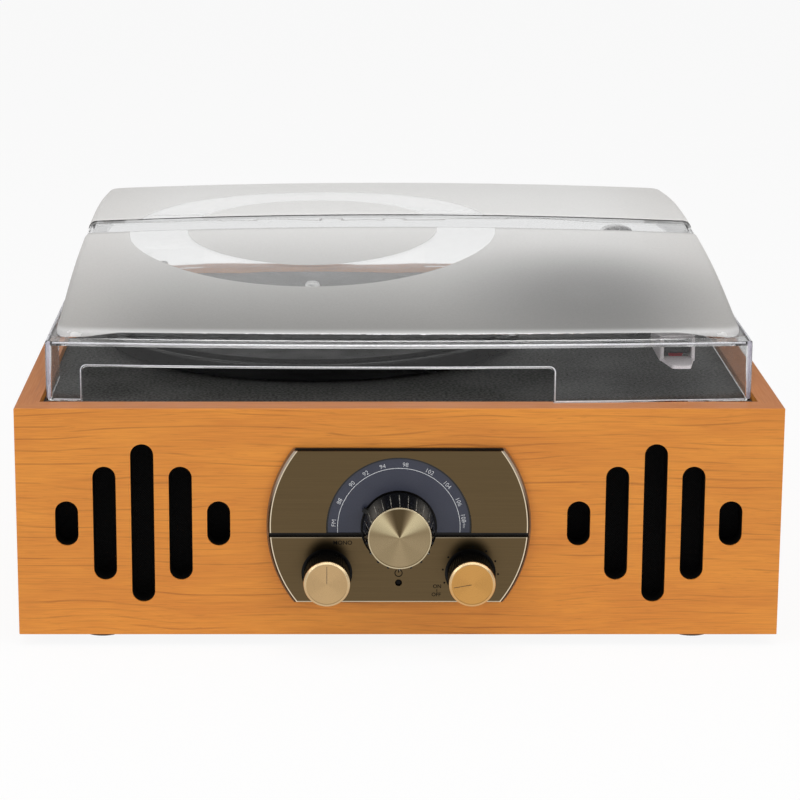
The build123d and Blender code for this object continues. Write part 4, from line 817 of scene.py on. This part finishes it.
class RECORDPLAYER_OT_dial(bpy.types.Operator):
    """Paints the dial and adds its scale, its numbers and the dots round the volume knob"""

    bl_idname = "record_player.dial"
    bl_label = "Dial"

    def paint(self):
        """Dark blue paint with a black outline."""
        t = Finish("dial_paint")
        grain = t.moulded(2600.0, 0.32, 0.4)
        blue = t.blend(grain["Shade"], colour(47, 50, 66), colour(53, 56, 72))
        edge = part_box("dial_plate")[1].x - DIAL.x
        outline = t.ramp(t.around(DIAL), edge - 0.72 * MM, edge - 0.62 * MM)
        t.set("Base_Color", t.blend(outline, blue, colour(8, 8, 9)))
        t.bump(grain["Height"], 0.01 * MM, 0.4)
        return t

    def print_mark(self, bm, text, size, radius, degrees):
        """Adds a mark of the dial, upright as seen from its middle."""
        angle = radians(degrees)
        x = DIAL.x + radius * cos(angle)
        z = DIAL.z + radius * sin(angle)
        printed_text(bm, text, size, on_front(x, z, DIAL_FACE, angle - pi / 2))

    def print_scale(self, values):
        """Numbers and letters over a thin arc that ends at the dial's foot."""
        half_line = 0.11 * MM
        bm = bmesh.new()
        for text, degrees in DIAL_MARKS:
            self.print_mark(bm, text, values.number_size, values.number_radius, degrees)
        self.print_mark(bm, "MHz", 0.5 * values.number_size, values.number_radius, UNIT_ANGLE)
        radius = values.scale_radius
        tilt = asin((DIAL.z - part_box("dial_plate")[0].z) / radius)
        add_arc_band(
            bm, DIAL, DIAL_FACE, radius - half_line, radius + half_line, -tilt, pi + tilt, 96
        )
        ink = plastic("scale_ink", colour(236, 238, 242), 0.45, 0.55)
        add_mesh("dial_print", bm, ink, "root")

    def print_dots(self):
        """Dots at even steps from the right of the volume knob, over its top, to its left."""
        dots = 8
        step = 29
        middle_y = PANEL_FACE - LIFT - PRINT_HEIGHT / 2
        dark = plastic("dot_ink", colour(10, 9, 8), 0.7, 0.8, Specular_IOR_Level=0.1)
        values = (
            (VOLUME.x, middle_y, VOLUME.z), 12.0 * MM, dots, radians(-2), radians(dots * step),
            (0.42 * MM, PRINT_HEIGHT, 0),
        )
        ring_of_marks("volume_dots", values, dark, "root", as_discs=True)

    def execute(self, context):
        dress(self.paint(), "dial_plate")
        self.print_scale(settings(context, "panel"))
        self.print_dots()
        return {"FINISHED"}


class RECORDPLAYER_OT_knobs(bpy.types.Operator):
    """Finishes the tuning knob and builds the two small knobs with their ribs and caps"""

    bl_idname = "record_player.knobs"
    bl_label = "Knobs"

    def cap_finish(self, name, centre, paint, rough, tone):
        """Metal turned on a lathe. Its tone paints into the colour the light and dark that the
        rings gather.
        """
        t = Finish(name, Metallic=1.0, Anisotropic=0.85)
        radius = t.around(centre)
        rings = t.noise(t.combine(X=radius), 5200.0, detail=2)
        spun = t.blend(rings, darkened(paint, 0.86), paint)
        t.set("Base_Color", tone(t, spun, centre, radius))
        t.set("Roughness", t.ramp(rings, 0.3, 0.7, rough, rough + 0.08))
        t.bump(rings, 0.01 * MM, 0.15)
        t.set("Tangent", t.vector("CROSS_PRODUCT", (0, 1, 0), t.offset(centre)))
        return t

    def painted_spin_reflections(self, t, spun, centre, radius):
        """Painted reflections of spun metal: a dark sector at the top, pale ones beside it, soft
        waves and a bright rim.
        """
        # Painted highlight, painted shade and painted dark reflection colours of the spun metal
        pale = (0.85, 0.74, 0.46, 1)
        flank_shade = (0.24, 0.17, 0.09, 1)
        dark = (0.045, 0.028, 0.012, 1)
        wave_shade = (0.16, 0.12, 0.06, 1)
        rim_highlight = (0.72, 0.62, 0.42, 1)
        waves_round = 5.0
        bearing = t.bearing(centre)
        away = t.absolute(t.plus(bearing, radians(3)))
        gleam = t.band(away, radians(22), radians(40), radians(58), radians(82))
        flank = t.fall(t.absolute(t.minus(away, radians(76))), 0, radians(11), 0.30)
        shaded = t.fall(away, radians(8), radians(36))
        waves = t.math("COSINE", t.times(bearing, waves_round))
        rim = t.ramp(radius, 12.95 * MM, 13.1 * MM)
        return t.layers(
            spun,
            (t.times(gleam, 0.5), pale),
            (flank, flank_shade),
            (t.times(shaded, 0.94), dark),
            (t.ramp(waves, -1, 1, 0.0, 0.22), wave_shade),
            (t.times(rim, 0.6), rim_highlight),
        )

    def chamfer_highlight(self, t, spun, centre, radius):
        """A chamfer with a painted highlight, brighter towards its top as if lit from above."""
        chamfer = t.ramp(radius, SMALL_CAP - 1.25 * MM, SMALL_CAP - 1.05 * MM)
        rise = t.minus(t.split(t.place)["Z"], centre.z)
        lit = t.ramp(rise, -4 * MM, 5 * MM, 0.12, 0.6)
        # Painted highlight colour of the chamfer
        gold = (1.0, 0.80, 0.50, 1)
        return t.blend(t.times(chamfer, lit), spun, gold)

    def skirt_finish(self):
        """Gloss black with painted soft reflections, and painted light ticks where its ribs begin.
        """
        ribs = 24.0
        t = Finish("skirt_black", Specular_IOR_Level=0.25)
        bearing = t.bearing(DIAL)
        radius = t.around(DIAL)
        grain = t.moulded(1800.0, 0.16, 0.24)
        # Painted reflections: grey patches to the upper left and upper right, fading outwards
        slant = t.absolute(t.minus(t.absolute(bearing), radians(48)))
        painted_reflection = t.times(t.fall(slant, 0, radians(26)), t.fall(radius, 13.4 * MM, 17.2 * MM))
        gloss = t.blend(t.times(painted_reflection, 0.75), colour(8, 8, 8), colour(112, 108, 100))
        # Painted highlights where the ribs begin
        turns = t.math("COSINE", t.times(bearing, ribs))
        rib_glint = t.times(t.ramp(turns, 0.95, 0.985), t.fall(radius, 15.0 * MM, 15.6 * MM))
        with_glints = t.blend(t.times(rib_glint, 0.75), gloss, colour(190, 186, 176))
        t.set("Base_Color", t.blend(grain["Shade"], gloss, with_glints))
        return t

    def small_knob(self, body, centre, line_angle, cap, black):
        """A black core with ribs round it, a metal cap and the line on the cap."""
        low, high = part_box(body + "_knob")
        radius = high.x - centre.x
        front, back = low.y, high.y
        cap_back = front + 1.9 * MM
        core_radius = radius - 0.4 * MM
        rib_size = Vector((0.9 * MM, back - front - 2.5 * MM, 0.46 * MM))
        dish = front + 0.25 * MM / 3
        bm = bmesh.new()
        profile = (
            (0, back), (core_radius, back), (core_radius, front + 2.2 * MM),
            (radius - 1.2 * MM, cap_back), (0, cap_back),
        )
        add_turned(bm, profile, centre, 96)
        core = add_mesh(body + "_knob_core", bm, black, body)
        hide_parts(body + "_knob")
        values = (
            (centre.x, front + 2.3 * MM + rib_size.y / 2, centre.z), radius - 0.45 * MM,
            64, 0.0, 2 * pi, tuple(rib_size),
        )
        ring_of_marks(body + "_knob_ribs", values, black, body)
        bm = bmesh.new()
        profile = (
            (0, cap_back), (radius - 0.25 * MM, cap_back), (radius, front + 1.65 * MM),
            (radius, front + 1.0 * MM), (radius - 0.12 * MM, front + 0.72 * MM),
            (radius - 0.9 * MM, front + 0.06 * MM), (radius - 1.15 * MM, front),
            (radius - 1.4 * MM, dish), (0, dish),
        )
        add_turned(bm, profile, centre, 128)
        add_mesh(body + "_knob_cap", bm, cap, body)
        bm = bmesh.new()
        line_length = radius - 2.2 * MM
        spot = Matrix.Translation((centre.x, front + 0.05 * MM, centre.z))
        turn = Matrix.Rotation(-line_angle, 4, "Y")
        outward = Matrix.Translation((line_length / 2 + 0.3 * MM, 0, 0))
        add_box(bm, spot @ turn @ outward, line_length, 0.08 * MM, 0.2 * MM)
        add_mesh(body + "_knob_line", bm, black, body)

    def execute(self, context):
        black = plastic("knob_black", colour(9, 9, 9), 0.14, 0.22, 1800, 0.006 * MM)
        champagne = (0.37, 0.28, 0.16, 1)
        dress(self.skirt_finish(), "tuning_knob")
        dress(self.cap_finish("champagne_metal", DIAL, champagne, 0.24, self.painted_spin_reflections), "tuning_cap")
        for body, centre, angle, paint in (
            ("function", SELECTOR, pi / 2, (0.58, 0.385, 0.19, 1)),
            ("volume", VOLUME, radians(190), (0.64, 0.33, 0.095, 1)),
        ):
            brass = self.cap_finish(body + "_brass", centre, paint, 0.26, self.chamfer_highlight)
            self.small_knob(body, centre, angle, brass, black)
        steel = metal("shaft_steel", (0.45, 0.45, 0.44, 1), DRAWN_ALONG_Y)
        dress(steel, "tuning_shaft", "function_shaft", "volume_shaft")
        return {"FINISHED"}


class RECORDPLAYER_OT_electronics(bpy.types.Operator):
    """Finishes the boards, the controls behind the panel and the power lamp"""

    bl_idname = "record_player.electronics"
    bl_label = "Electronics"

    def execute(self, context):
        dress(plastic("board_lacquer", colour(38, 92, 56), 0.3, 0.5, 900), "amplifier_board")
        dress(plastic("board_paper", colour(150, 112, 64), 0.4, 0.6, 900), "radio_board")
        dress(plastic("component_black", colour(30, 30, 32)), "function_switch")
        dress(plastic("component_grey", colour(70, 74, 78)), "volume_control")
        dress(plastic("tuner_case", colour(205, 203, 192), 0.3, 0.45), "tuning_capacitor")
        dress(metal("standoff_metal", (0.6, 0.52, 0.3, 1), DRAWN_UPRIGHT), "board_standoffs")
        lens = plastic(
            "lamp_lens", colour(9, 7, 7), 0.1, 0.16, 800, 0.005 * MM, Specular_IOR_Level=0.08
        )
        dress(lens, "power_led")
        return {"FINISHED"}


class RECORDPLAYER_OT_rear_fittings(bpy.types.Operator):
    """Finishes the plate, the sockets and the inlet at the back"""

    bl_idname = "record_player.rear_fittings"
    bl_label = "Rear Fittings"

    def execute(self, context):
        plate = plastic("plate_black", colour(26, 26, 27), 0.4, 0.55, 2600, 0.03 * MM)
        gold = metal("socket_gold", (0.85, 0.65, 0.32, 1), DRAWN_ALONG_Y, 0.15, 0.25)
        dress(plate, "connector_plate")
        dress(gold, "line_out_sockets")
        dress(plastic("inlet_black", colour(18, 18, 18), 0.3, 0.45), "dc_inlet")
        return {"FINISHED"}


class RECORDPLAYER_OT_deck(bpy.types.Operator):
    """Finishes the deck, the platter, the mat and what drives them"""

    bl_idname = "record_player.deck"
    bl_label = "Deck And Platter"

    def deck_plastic(self):
        """Black plastic with a coarse, speckled texture."""
        t = Finish("deck_plastic", Specular_IOR_Level=0.22)
        grain = t.moulded(760.0, 0.55, 0.68)
        t.set("Base_Color", t.blend(grain["Shade"], colour(28, 28, 27), colour(76, 76, 74)))
        t.bump(grain["Height"], 0.25 * MM, 0.6)
        return t

    def mat_rubber(self):
        """Rubber with shallow rings round the spindle."""
        ring_pitch = 3.0 * MM
        t = Finish("mat_rubber", Specular_IOR_Level=0.2)
        wave = t.math("SINE", t.times(t.around(PLATTER, upright=True), 2 * pi / ring_pitch))
        grain = t.moulded(1400.0, 0.5, 0.65)
        t.set("Base_Color", t.blend(grain["Shade"], colour(19, 19, 19), colour(25, 25, 25)))
        t.bump(t.plus(wave, grain["Height"]), 0.02 * MM, 0.2)
        return t

    def execute(self, context):
        gloss = plastic("platter_lacquer", colour(16, 16, 17), 0.12, 0.2, 900, 0.006 * MM)
        steel = metal("spindle_steel", (0.75, 0.75, 0.74, 1), DRAWN_UPRIGHT, 0.1, 0.2)
        dress(self.deck_plastic(), "deck_plate")
        dress(gloss, "platter")
        dress(self.mat_rubber(), "slip_mat")
        dress(steel, "spindle")
        dress(metal("bearing_bronze", (0.55, 0.36, 0.17, 1), DRAWN_UPRIGHT), "spindle_bearing")
        dress(plastic("belt_rubber", colour(20, 20, 20), 0.5, 0.65), "drive_belt")
        dress(metal("motor_can", (0.5, 0.5, 0.5, 1), DRAWN_UPRIGHT), "motor")
        dress(metal("pulley_brass", (0.7, 0.52, 0.26, 1), TURNED_FLAT), "motor_pulley")
        return {"FINISHED"}


class RECORDPLAYER_OT_tonearm(bpy.types.Operator):
    """Finishes the tonearm, its bearing, headshell, rest and lift"""

    bl_idname = "record_player.tonearm"
    bl_label = "Tonearm"

    def execute(self, context):
        silver = metal("arm_silver", (0.62, 0.62, 0.62, 1), ARM_LENGTHWISE, 0.22, 0.32)
        black = plastic("arm_black", colour(24, 24, 25), 0.25, 0.38)
        white = plastic("headshell_white", colour(214, 208, 210), 0.3, 0.42)
        red = plastic("stylus_red", colour(196, 40, 58), 0.25, 0.35, Subsurface_Weight=0.1)
        dress(silver, "arm_tube", "counterweight")
        dress(black, "arm_base", "arm_yoke", "arm_rest", "cartridge", "lift_platform")
        dress(white, "headshell")
        dress(red, "stylus")
        return {"FINISHED"}


class RECORDPLAYER_OT_switches(bpy.types.Operator):
    """Finishes the cue lever and the two deck switches"""

    bl_idname = "record_player.switches"
    bl_label = "Deck Switches"

    def execute(self, context):
        dress(plastic("switch_black", colour(20, 20, 21), 0.3, 0.42), "speed_selector")
        dress(plastic("stop_black", colour(20, 20, 21), 0.3, 0.42), "auto_stop_switch")
        dress(metal("lever_metal", (0.6, 0.6, 0.6, 1), EVEN_SHEET), "cue_lever")
        return {"FINISHED"}


class RECORDPLAYER_OT_cover(bpy.types.Operator):
    """Makes the dust cover clear, with its frosted crown, clear ring and clear strip"""

    bl_idname = "record_player.cover"
    bl_label = "Dust Cover"

    def frost_share(self, t, values):
        """1 where the crown is frosted, 0 in the ring, in the strip and outside the crown."""
        soft = 0.3 * MM
        corner_start = 118 * MM
        corner_end = 142 * MM
        corner_drop = 2.4 * MM
        front_foot = LEDGE + 2.6 * MM
        side_foot = LEDGE + 0.6 * MM
        axes = t.split(t.place)
        radius = t.around(PLATTER, upright=True)
        inside = t.fall(radius, values.ring_inner - soft, values.ring_inner + soft)
        outside = t.ramp(radius, values.ring_outer - soft, values.ring_outer + soft)
        off_ring = t.math("MAXIMUM", inside, outside)
        before = t.fall(axes["Y"], STRIP_START - soft, STRIP_START)
        after = t.ramp(axes["Y"], STRIP_END, STRIP_END + soft)
        off_strip = t.math("MAXIMUM", before, after)
        slope = t.ramp(axes["Y"], COVER_LOW.y, COVER_LOW.y + 40 * MM)
        corner = t.ramp(t.absolute(axes["X"]), corner_start, corner_end, 0.0, corner_drop)
        foot = t.minus(t.ramp(slope, 0, 1, front_foot, side_foot), corner)
        high_enough = t.ramp(t.minus(axes["Z"], foot), 0, 0.8 * MM)
        return t.times(t.times(off_ring, off_strip), high_enough)

    def let_light_through(self, t):
        """Lets the lamps' light pass to what lies under the cover."""
        open_shader = t.add("ShaderNodeBsdfTransparent", {"Color": (0.95, 0.95, 0.95, 1)})
        t.mix_surface(t.add("ShaderNodeLightPath").outputs["Is Shadow Ray"], open_shader)

    def clear_plastic(self, values):
        """Clear plastic that is rough only on the outside of the frosted crown."""
        t = Finish(
            "cover_clear", Transmission_Weight=1.0, IOR=1.49, Metallic=0.0,
            Base_Color=(0.985, 0.988, 0.99, 1), Specular_Tint=(0.4, 0.4, 0.4, 1),
        )
        geometry = t.add("ShaderNodeNewGeometry").outputs
        outward = t.vector("SUBTRACT", t.place, (0, PLATTER.y, RIM))
        facing = t.vector("DOT_PRODUCT", geometry["Normal"], outward)
        flip = t.minus(1.0, t.times(geometry["Backfacing"], 2.0))
        outside = t.math("GREATER_THAN", t.times(facing, flip), 0.0)
        frost = t.times(self.frost_share(t, values), outside)
        t.set("Roughness", t.ramp(frost, 0, 1, 0.015, 0.36))
        dust = t.noise(t.place, 1800.0, detail=2)
        t.bump(t.times(dust, frost), 0.05 * MM, 0.5)
        self.let_light_through(t)
        return t

    def hinge_plastic(self):
        """Thin clear plastic that hardly bends the light."""
        t = Finish(
            "hinge_plastic", Transmission_Weight=1.0, IOR=1.08, Metallic=0.0,
            Base_Color=(0.99, 0.99, 0.99, 1), Alpha=0.25,
        )
        t.moulded(900.0, 0.2, 0.3)
        self.let_light_through(t)
        return t

    def crown_slice(self, tree, y):
        """Places and normals over the crown at one depth, from its right foot to its left foot."""
        side_rows, bend_rows, top_rows = 6, 8, 40
        down, inward = Vector((0, 0, -1)), Vector((-1, 0, 0))
        foot = LEDGE + 0.5 * MM
        edge = tree.ray_cast(Vector((1, y, foot)), inward)[0].x
        turn_x = max(edge - CROWN_ROUND, 0.5 * edge)
        shoulder = tree.ray_cast(Vector((turn_x, y, 1)), down)[0].z
        turn_z = max(shoulder - CROWN_ROUND, foot)
        rays = []
        for step in range(side_rows):
            rays.append((Vector((1, y, foot + (turn_z - foot) * step / side_rows)), inward))
        for step in range(bend_rows + 1):
            angle = pi / 2 * step / bend_rows
            slanted = Vector((-cos(angle), 0, -sin(angle)))
            rays.append((Vector((turn_x, y, turn_z)) - slanted * 0.1, slanted))
        for step in range(1, top_rows + 1):
            rays.append((Vector((turn_x * (1 - step / top_rows), y, 1)), down))
        right = [tree.ray_cast(*ray)[:2] for ray in rays]
        left = [
            (Vector((-place.x, place.y, place.z)), Vector((-normal.x, normal.y, normal.z)))
            for place, normal in reversed(right[:-1])
        ]
        return right + left

    def add_skin(self, bm, slices):
        """Adds a closed skin of two layers just over the crown."""
        below, above = layers = [
            [[bm.verts.new(place + normal * lift) for place, normal in line] for line in slices]
            for lift in (0.04 * MM, 0.10 * MM)
        ]
        last = len(slices[0]) - 1
        for layer in layers:
            for first, second in zip(layer, layer[1:]):
                for spot in range(last):
                    bm.faces.new((first[spot], first[spot + 1], second[spot + 1], second[spot]))
        for row in range(len(slices) - 1):
            for spot in (0, last):
                bm.faces.new((
                    below[row][spot], below[row + 1][spot], above[row + 1][spot], above[row][spot],
                ))
        for row in (0, -1):
            for spot in range(last):
                bm.faces.new((
                    below[row][spot], below[row][spot + 1], above[row][spot + 1], above[row][spot],
                ))

    def frost_with_painted_light(self, values):
        """The haze of the frosted crown, with painted light in its colour and a painted glow: pale
        towards the rear and at the sides, a painted shadow over the arm, a painted highlight low on
        its roll, and faint where it is clear.
        """
        # Painted light: the film is darker at the front and paler at the rear and at the sides
        dark_front = (0.285, 0.28, 0.27, 1)
        pale_rear = (0.78, 0.775, 0.765, 1)
        side_grey = (0.62, 0.60, 0.58, 1)
        arm_shadow_grey = (0.12, 0.12, 0.12, 1)
        sand_grey = (0.1, 0.1, 0.1, 1)
        roll_highlight = (0.75, 0.75, 0.75, 1)
        clear_white = (0.86, 0.86, 0.855, 1)
        t = Finish("cover_frost_with_painted_light", Specular_IOR_Level=0.25)
        frost = self.frost_share(t, values)
        axes = t.split(t.place)
        sand = t.noise(t.place, 1100.0, detail=2)
        rear = t.ramp(axes["Y"], COVER_LOW.y - 10 * MM, STRIP_START + 25 * MM)
        # Painted shadow of the tonearm seen through the frost
        arm_shadow_middle = Vector((86 * MM, COVER_LOW.y + 52 * MM, 0))
        side = t.ramp(t.absolute(axes["X"]), 95 * MM, 150 * MM, 0.0, 0.4)
        shade = t.fall(t.around(arm_shadow_middle, upright=True), 10 * MM, 78 * MM, 0.5)
        # Painted highlight on the low roll of the crown, just above the ledge
        roll_highlight_share = t.fall(axes["Z"], LEDGE + 2.6 * MM, LEDGE + 4.8 * MM, 0.6)
        film = t.layers(
            t.blend(rear, dark_front, pale_rear),
            (side, side_grey),
            (shade, arm_shadow_grey),
            (t.ramp(sand, 0.25, 0.75, 0.0, 0.16), sand_grey),
            (roll_highlight_share, roll_highlight),
        )
        film = t.blend(frost, clear_white, film)
        t.set("Base_Color", film)
        # Painted glow: the skin gives off light in its own colour, though it is no lamp
        t.set("Emission_Color", film)
        t.set("Emission_Strength", 0.27)
        t.set("Roughness", t.ramp(sand, 0.3, 0.7, 0.5, 0.7))
        t.bump(sand, 0.05 * MM, 0.4)
        behind_strip = t.ramp(axes["Y"], STRIP_START, STRIP_END + 50 * MM, 0.0, 0.28)
        clear_rear = t.plus(t.times(rear, 0.16), behind_strip)
        hidden = t.ramp(sand, 0.3, 0.7, values.haze - 0.03, values.haze + 0.03)
        t.set("Alpha", t.math("MAXIMUM", t.times(frost, hidden), clear_rear))
        return t

    def frosted_skin(self, values, tree):
        """A thin skin on the crown that holds the frost and its painted light, open at the strip.
        """
        foot = LEDGE + 0.5 * MM
        gap = 0.1 * MM
        front = tree.ray_cast(Vector((0, -1, foot)), Vector((0, 1, 0)))[0].y
        back = tree.ray_cast(Vector((0, 1, foot)), Vector((0, -1, 0)))[0].y
        bm = bmesh.new()
        for start, length, rows in (
            (front + gap, STRIP_START - front - 2 * gap, 64),
            (back - gap, -(back - STRIP_END - 2 * gap), 44),
        ):
            depths = [start + length * (row / rows) ** 2 for row in range(rows + 1)]
            self.add_skin(bm, [self.crown_slice(tree, depth) for depth in depths])
        bmesh.ops.recalc_face_normals(bm, faces=bm.faces[:])
        skin = self.frost_with_painted_light(values)
        add_mesh("cover_frost_with_painted_light", bm, skin, "cover", smooth=True)

    def edge_glow(self):
        """A painted glow and pale colour for the light that the cut edges gather, fainter towards
        the corners.
        """
        t = Finish("cover_edge_highlight")
        flow = t.moulded(1500.0, 0.25, 0.35)
        sideways = t.absolute(t.split(t.place)["X"])
        share = t.ramp(sideways, 50 * MM, 140 * MM)
        paint = t.blend(share, colour(226, 226, 228), colour(172, 171, 176))
        t.set("Base_Color", t.blend(flow["Shade"], colour(200, 200, 204), paint))
        t.set("Emission_Color", paint)
        t.set("Emission_Strength", 0.08)
        return t

    def painted_edge_highlights(self, tree):
        """Painted highlights: pale lines inside the walls, where the cut and rounded edges gather
        light.
        """
        line_radius = 0.28 * MM
        ledge_radius = 0.32 * MM
        post_radius = 0.95 * MM
        notch_corner = 2.0 * MM
        notch_inset = 0.6 * MM
        low = COVER_LOW.z + 0.55 * MM
        top = LEDGE - 0.75 * MM
        end = COVER_HIGH.x - 3.4 * MM
        front = COVER_LOW.y + COVER_BOW

        def in_wall(x, z):
            """A place in the middle of the front wall."""
            face = tree.ray_cast(Vector((x, -1, z)), Vector((0, 1, 0)))[0].y
            return Vector((x, face + COVER_WALL / 2, z))

        def along(start, stop, z, steps=24):
            """Places on a level line in the front wall."""
            return [in_wall(start + (stop - start) * step / steps, z) for step in range(steps + 1)]

        def round_corner(x, start, steps=6):
            """Places round an upper corner of the notch, a quarter turn clockwise."""
            radius = notch_corner + notch_inset
            angles = [start - pi / 2 * step / steps for step in range(steps + 1)]
            z = NOTCH_TOP - notch_corner
            return [in_wall(x + radius * cos(angle), z + radius * sin(angle)) for angle in angles]

        bm = bmesh.new()
        add_tube(bm, along(-end, NOTCH_LEFT - 0.7 * MM, low, 4), line_radius)
        add_tube(bm, along(NOTCH_RIGHT + 0.7 * MM, end, low), line_radius)
        add_tube(bm, along(-end, end, top, 48), ledge_radius)
        notch_top = along(
            NOTCH_LEFT + 2 * notch_corner, NOTCH_RIGHT - 2 * notch_corner, NOTCH_TOP + notch_inset
        )
        outline = [
            in_wall(NOTCH_LEFT - notch_inset, low),
            *round_corner(NOTCH_LEFT + notch_corner, pi),
            *notch_top,
            *round_corner(NOTCH_RIGHT - notch_corner, pi / 2),
            in_wall(NOTCH_RIGHT + notch_inset, low),
        ]
        add_tube(bm, outline, line_radius)
        # Painted highlights on the rounded upright corners of the cover
        post_highlights = bmesh.new()
        for side in (-1, 1):
            x, y = side * (COVER_HIGH.x - 1.6 * MM), front + 1.6 * MM
            add_tube(post_highlights, [Vector((x, y, low)), Vector((x, y, top))], post_radius)
            x = side * (COVER_HIGH.x - 0.95 * MM)
            rail = [Vector((x, front + 3.2 * MM, top)), Vector((x, COVER_HIGH.y - 3 * MM, top))]
            add_tube(bm, rail, ledge_radius)
        # Painted highlight colour of the corners
        corner_glint = plastic("cover_corner_highlight", colour(214, 210, 224), 0.25, 0.35, Alpha=0.45)
        # Painted highlights: glowing pale lines along the cut edges
        add_mesh("cover_edge_highlights", bm, self.edge_glow(), "cover", smooth=True)
        add_mesh("cover_corner_highlights", post_highlights, corner_glint, "cover", smooth=True)

    def execute(self, context):
        values = settings(context, "cover")
        dress(self.clear_plastic(values), "dust_cover")
        dress(self.hinge_plastic(), "hinge_arms", "hinge_brackets")
        source = bmesh.new()
        source.from_mesh(NODES["dust_cover"].data)
        tree = BVHTree.FromBMesh(source)
        source.free()
        self.frosted_skin(values, tree)
        self.painted_edge_highlights(tree)
        return {"FINISHED"}


class RECORDPLAYER_OT_stage(bpy.types.Operator):
    """Sets up the floor, the lamps, the surroundings and the camera"""

    bl_idname = "record_player.stage"
    bl_label = "Stage"

    def floor(self):
        """A white floor that is nearly as bright as the surroundings in view."""
        half_size = 4.0
        t = Finish("floor_paper", Base_Color=(0.97, 0.97, 0.97, 1), Roughness=0.9)
        glow = t.add("ShaderNodeEmission", {"Color": (1, 1, 1, 1), "Strength": 1.0})
        rays = t.add("ShaderNodeLightPath").outputs
        seen = t.math("MAXIMUM", rays["Is Camera Ray"], rays["Is Glossy Ray"])
        seen = t.math("MAXIMUM", seen, rays["Is Transmission Ray"])
        t.mix_surface(t.times(seen, 0.91), glow)
        bm = bmesh.new()
        bmesh.ops.create_grid(bm, x_segments=1, y_segments=1, size=half_size)
        mesh = bpy.data.meshes.new("floor")
        bm.to_mesh(mesh)
        bm.free()
        mesh.materials.append(t.material)
        ground = new_object("floor", mesh)

    def surroundings(self, strength):
        """An even white world, at full strength only where it is seen."""
        world = bpy.data.worlds.new("studio")
        world.use_nodes = True
        bpy.context.scene.world = world
        t = Tree(world.node_tree)
        back = world.node_tree.nodes["Background"].inputs
        rays = t.add("ShaderNodeLightPath").outputs
        seen = t.math("MAXIMUM", rays["Is Camera Ray"], rays["Is Transmission Ray"])
        share = t.add("ShaderNodeMapRange", {"Value": seen, "To Min": strength, "To Max": 1.0})
        t.feed(back["Color"], (1, 1, 1, 1))
        t.feed(back["Strength"], share.outputs[0])

    def lamp(self, name, place, aim, size, power):
        """A soft box that faces its aim."""
        light = bpy.data.lights.new(name, "AREA")
        light.shape = "RECTANGLE"
        light.size, light.size_y = size
        light.energy = power
        holder = new_object(name, light)
        holder.location = place
        holder.rotation_euler = (Vector(aim) - Vector(place)).to_track_quat("-Z", "Y").to_euler()

    def camera(self, values):
        """Straight ahead and a little down, from the left of the middle."""
        aside = -30.5 * MM
        distance = 1060 * MM
        rise = 386.0 * MM
        camera = bpy.data.cameras.new("camera")
        camera.lens = values.lens
        camera.sensor_width = 36.0
        camera.shift_x = 0.09
        camera.shift_y = -0.125
        camera.clip_end = 20.0
        holder = new_object("camera", camera)
        holder.location = (aside, CASE_FRONT - distance, rise)
        holder.rotation_euler = (pi / 2 - values.pitch, 0, 0)
        bpy.context.scene.camera = holder

    def execute(self, context):
        values = settings(context, "stage")
        self.floor()
        self.surroundings(values.world_strength)
        self.lamp(
            "top_lamp", place=(0, -0.35, 1.25), aim=(0, 0, 0.1), size=(1.3, 0.8),
            power=values.key_power,
        )
        for x in (-1.2, 1.2):
            self.lamp(
                "side_lamp", place=(x, -1.1, 0.75), aim=(0, -0.1, 0.06), size=(0.7, 0.9),
                power=values.side_power,
            )
        self.camera(values)
        context.scene.view_settings.view_transform = "Standard"
        return {"FINISHED"}


OPERATORS = (
    RECORDPLAYER_OT_cabinet,
    RECORDPLAYER_OT_fasteners,
    RECORDPLAYER_OT_speakers,
    RECORDPLAYER_OT_panel,
    RECORDPLAYER_OT_dial,
    RECORDPLAYER_OT_knobs,
    RECORDPLAYER_OT_electronics,
    RECORDPLAYER_OT_rear_fittings,
    RECORDPLAYER_OT_deck,
    RECORDPLAYER_OT_tonearm,
    RECORDPLAYER_OT_switches,
    RECORDPLAYER_OT_cover,
    RECORDPLAYER_OT_stage,
)


class RECORDPLAYER_PT_looks(bpy.types.Panel):
    """Lists the steps that dress the record player"""

    bl_idname = "RECORDPLAYER_PT_looks"
    bl_label = "Record Player"
    bl_space_type = "VIEW_3D"
    bl_region_type = "UI"
    bl_category = "Record Player"

    def draw(self, context):
        for name, kind in SETTINGS.items():
            box = self.layout.box()
            box.label(text=name.title())
            for key in kind.__annotations__:
                box.prop(settings(context, name), key)
        for operator in OPERATORS:
            self.layout.operator(operator.bl_idname)


def register():
    for name, kind in SETTINGS.items():
        bpy.utils.register_class(kind)
        setattr(bpy.types.Scene, "record_player_" + name, bpy.props.PointerProperty(type=kind))
    for kind in (*OPERATORS, RECORDPLAYER_PT_looks):
        bpy.utils.register_class(kind)


def unregister():
    for kind in (RECORDPLAYER_PT_looks, *reversed(OPERATORS)):
        bpy.utils.unregister_class(kind)
    for name, kind in SETTINGS.items():
        delattr(bpy.types.Scene, "record_player_" + name)
        bpy.utils.unregister_class(kind)


def main():
    register()
    for make_effect in (make_veneer, make_brushing, make_moulded_texture, make_weave):
        make_effect()
    for operator in OPERATORS:
        group, name = operator.bl_idname.split(".")
        getattr(getattr(bpy.ops, group), name)()


if __name__ == "__main__":
    main()
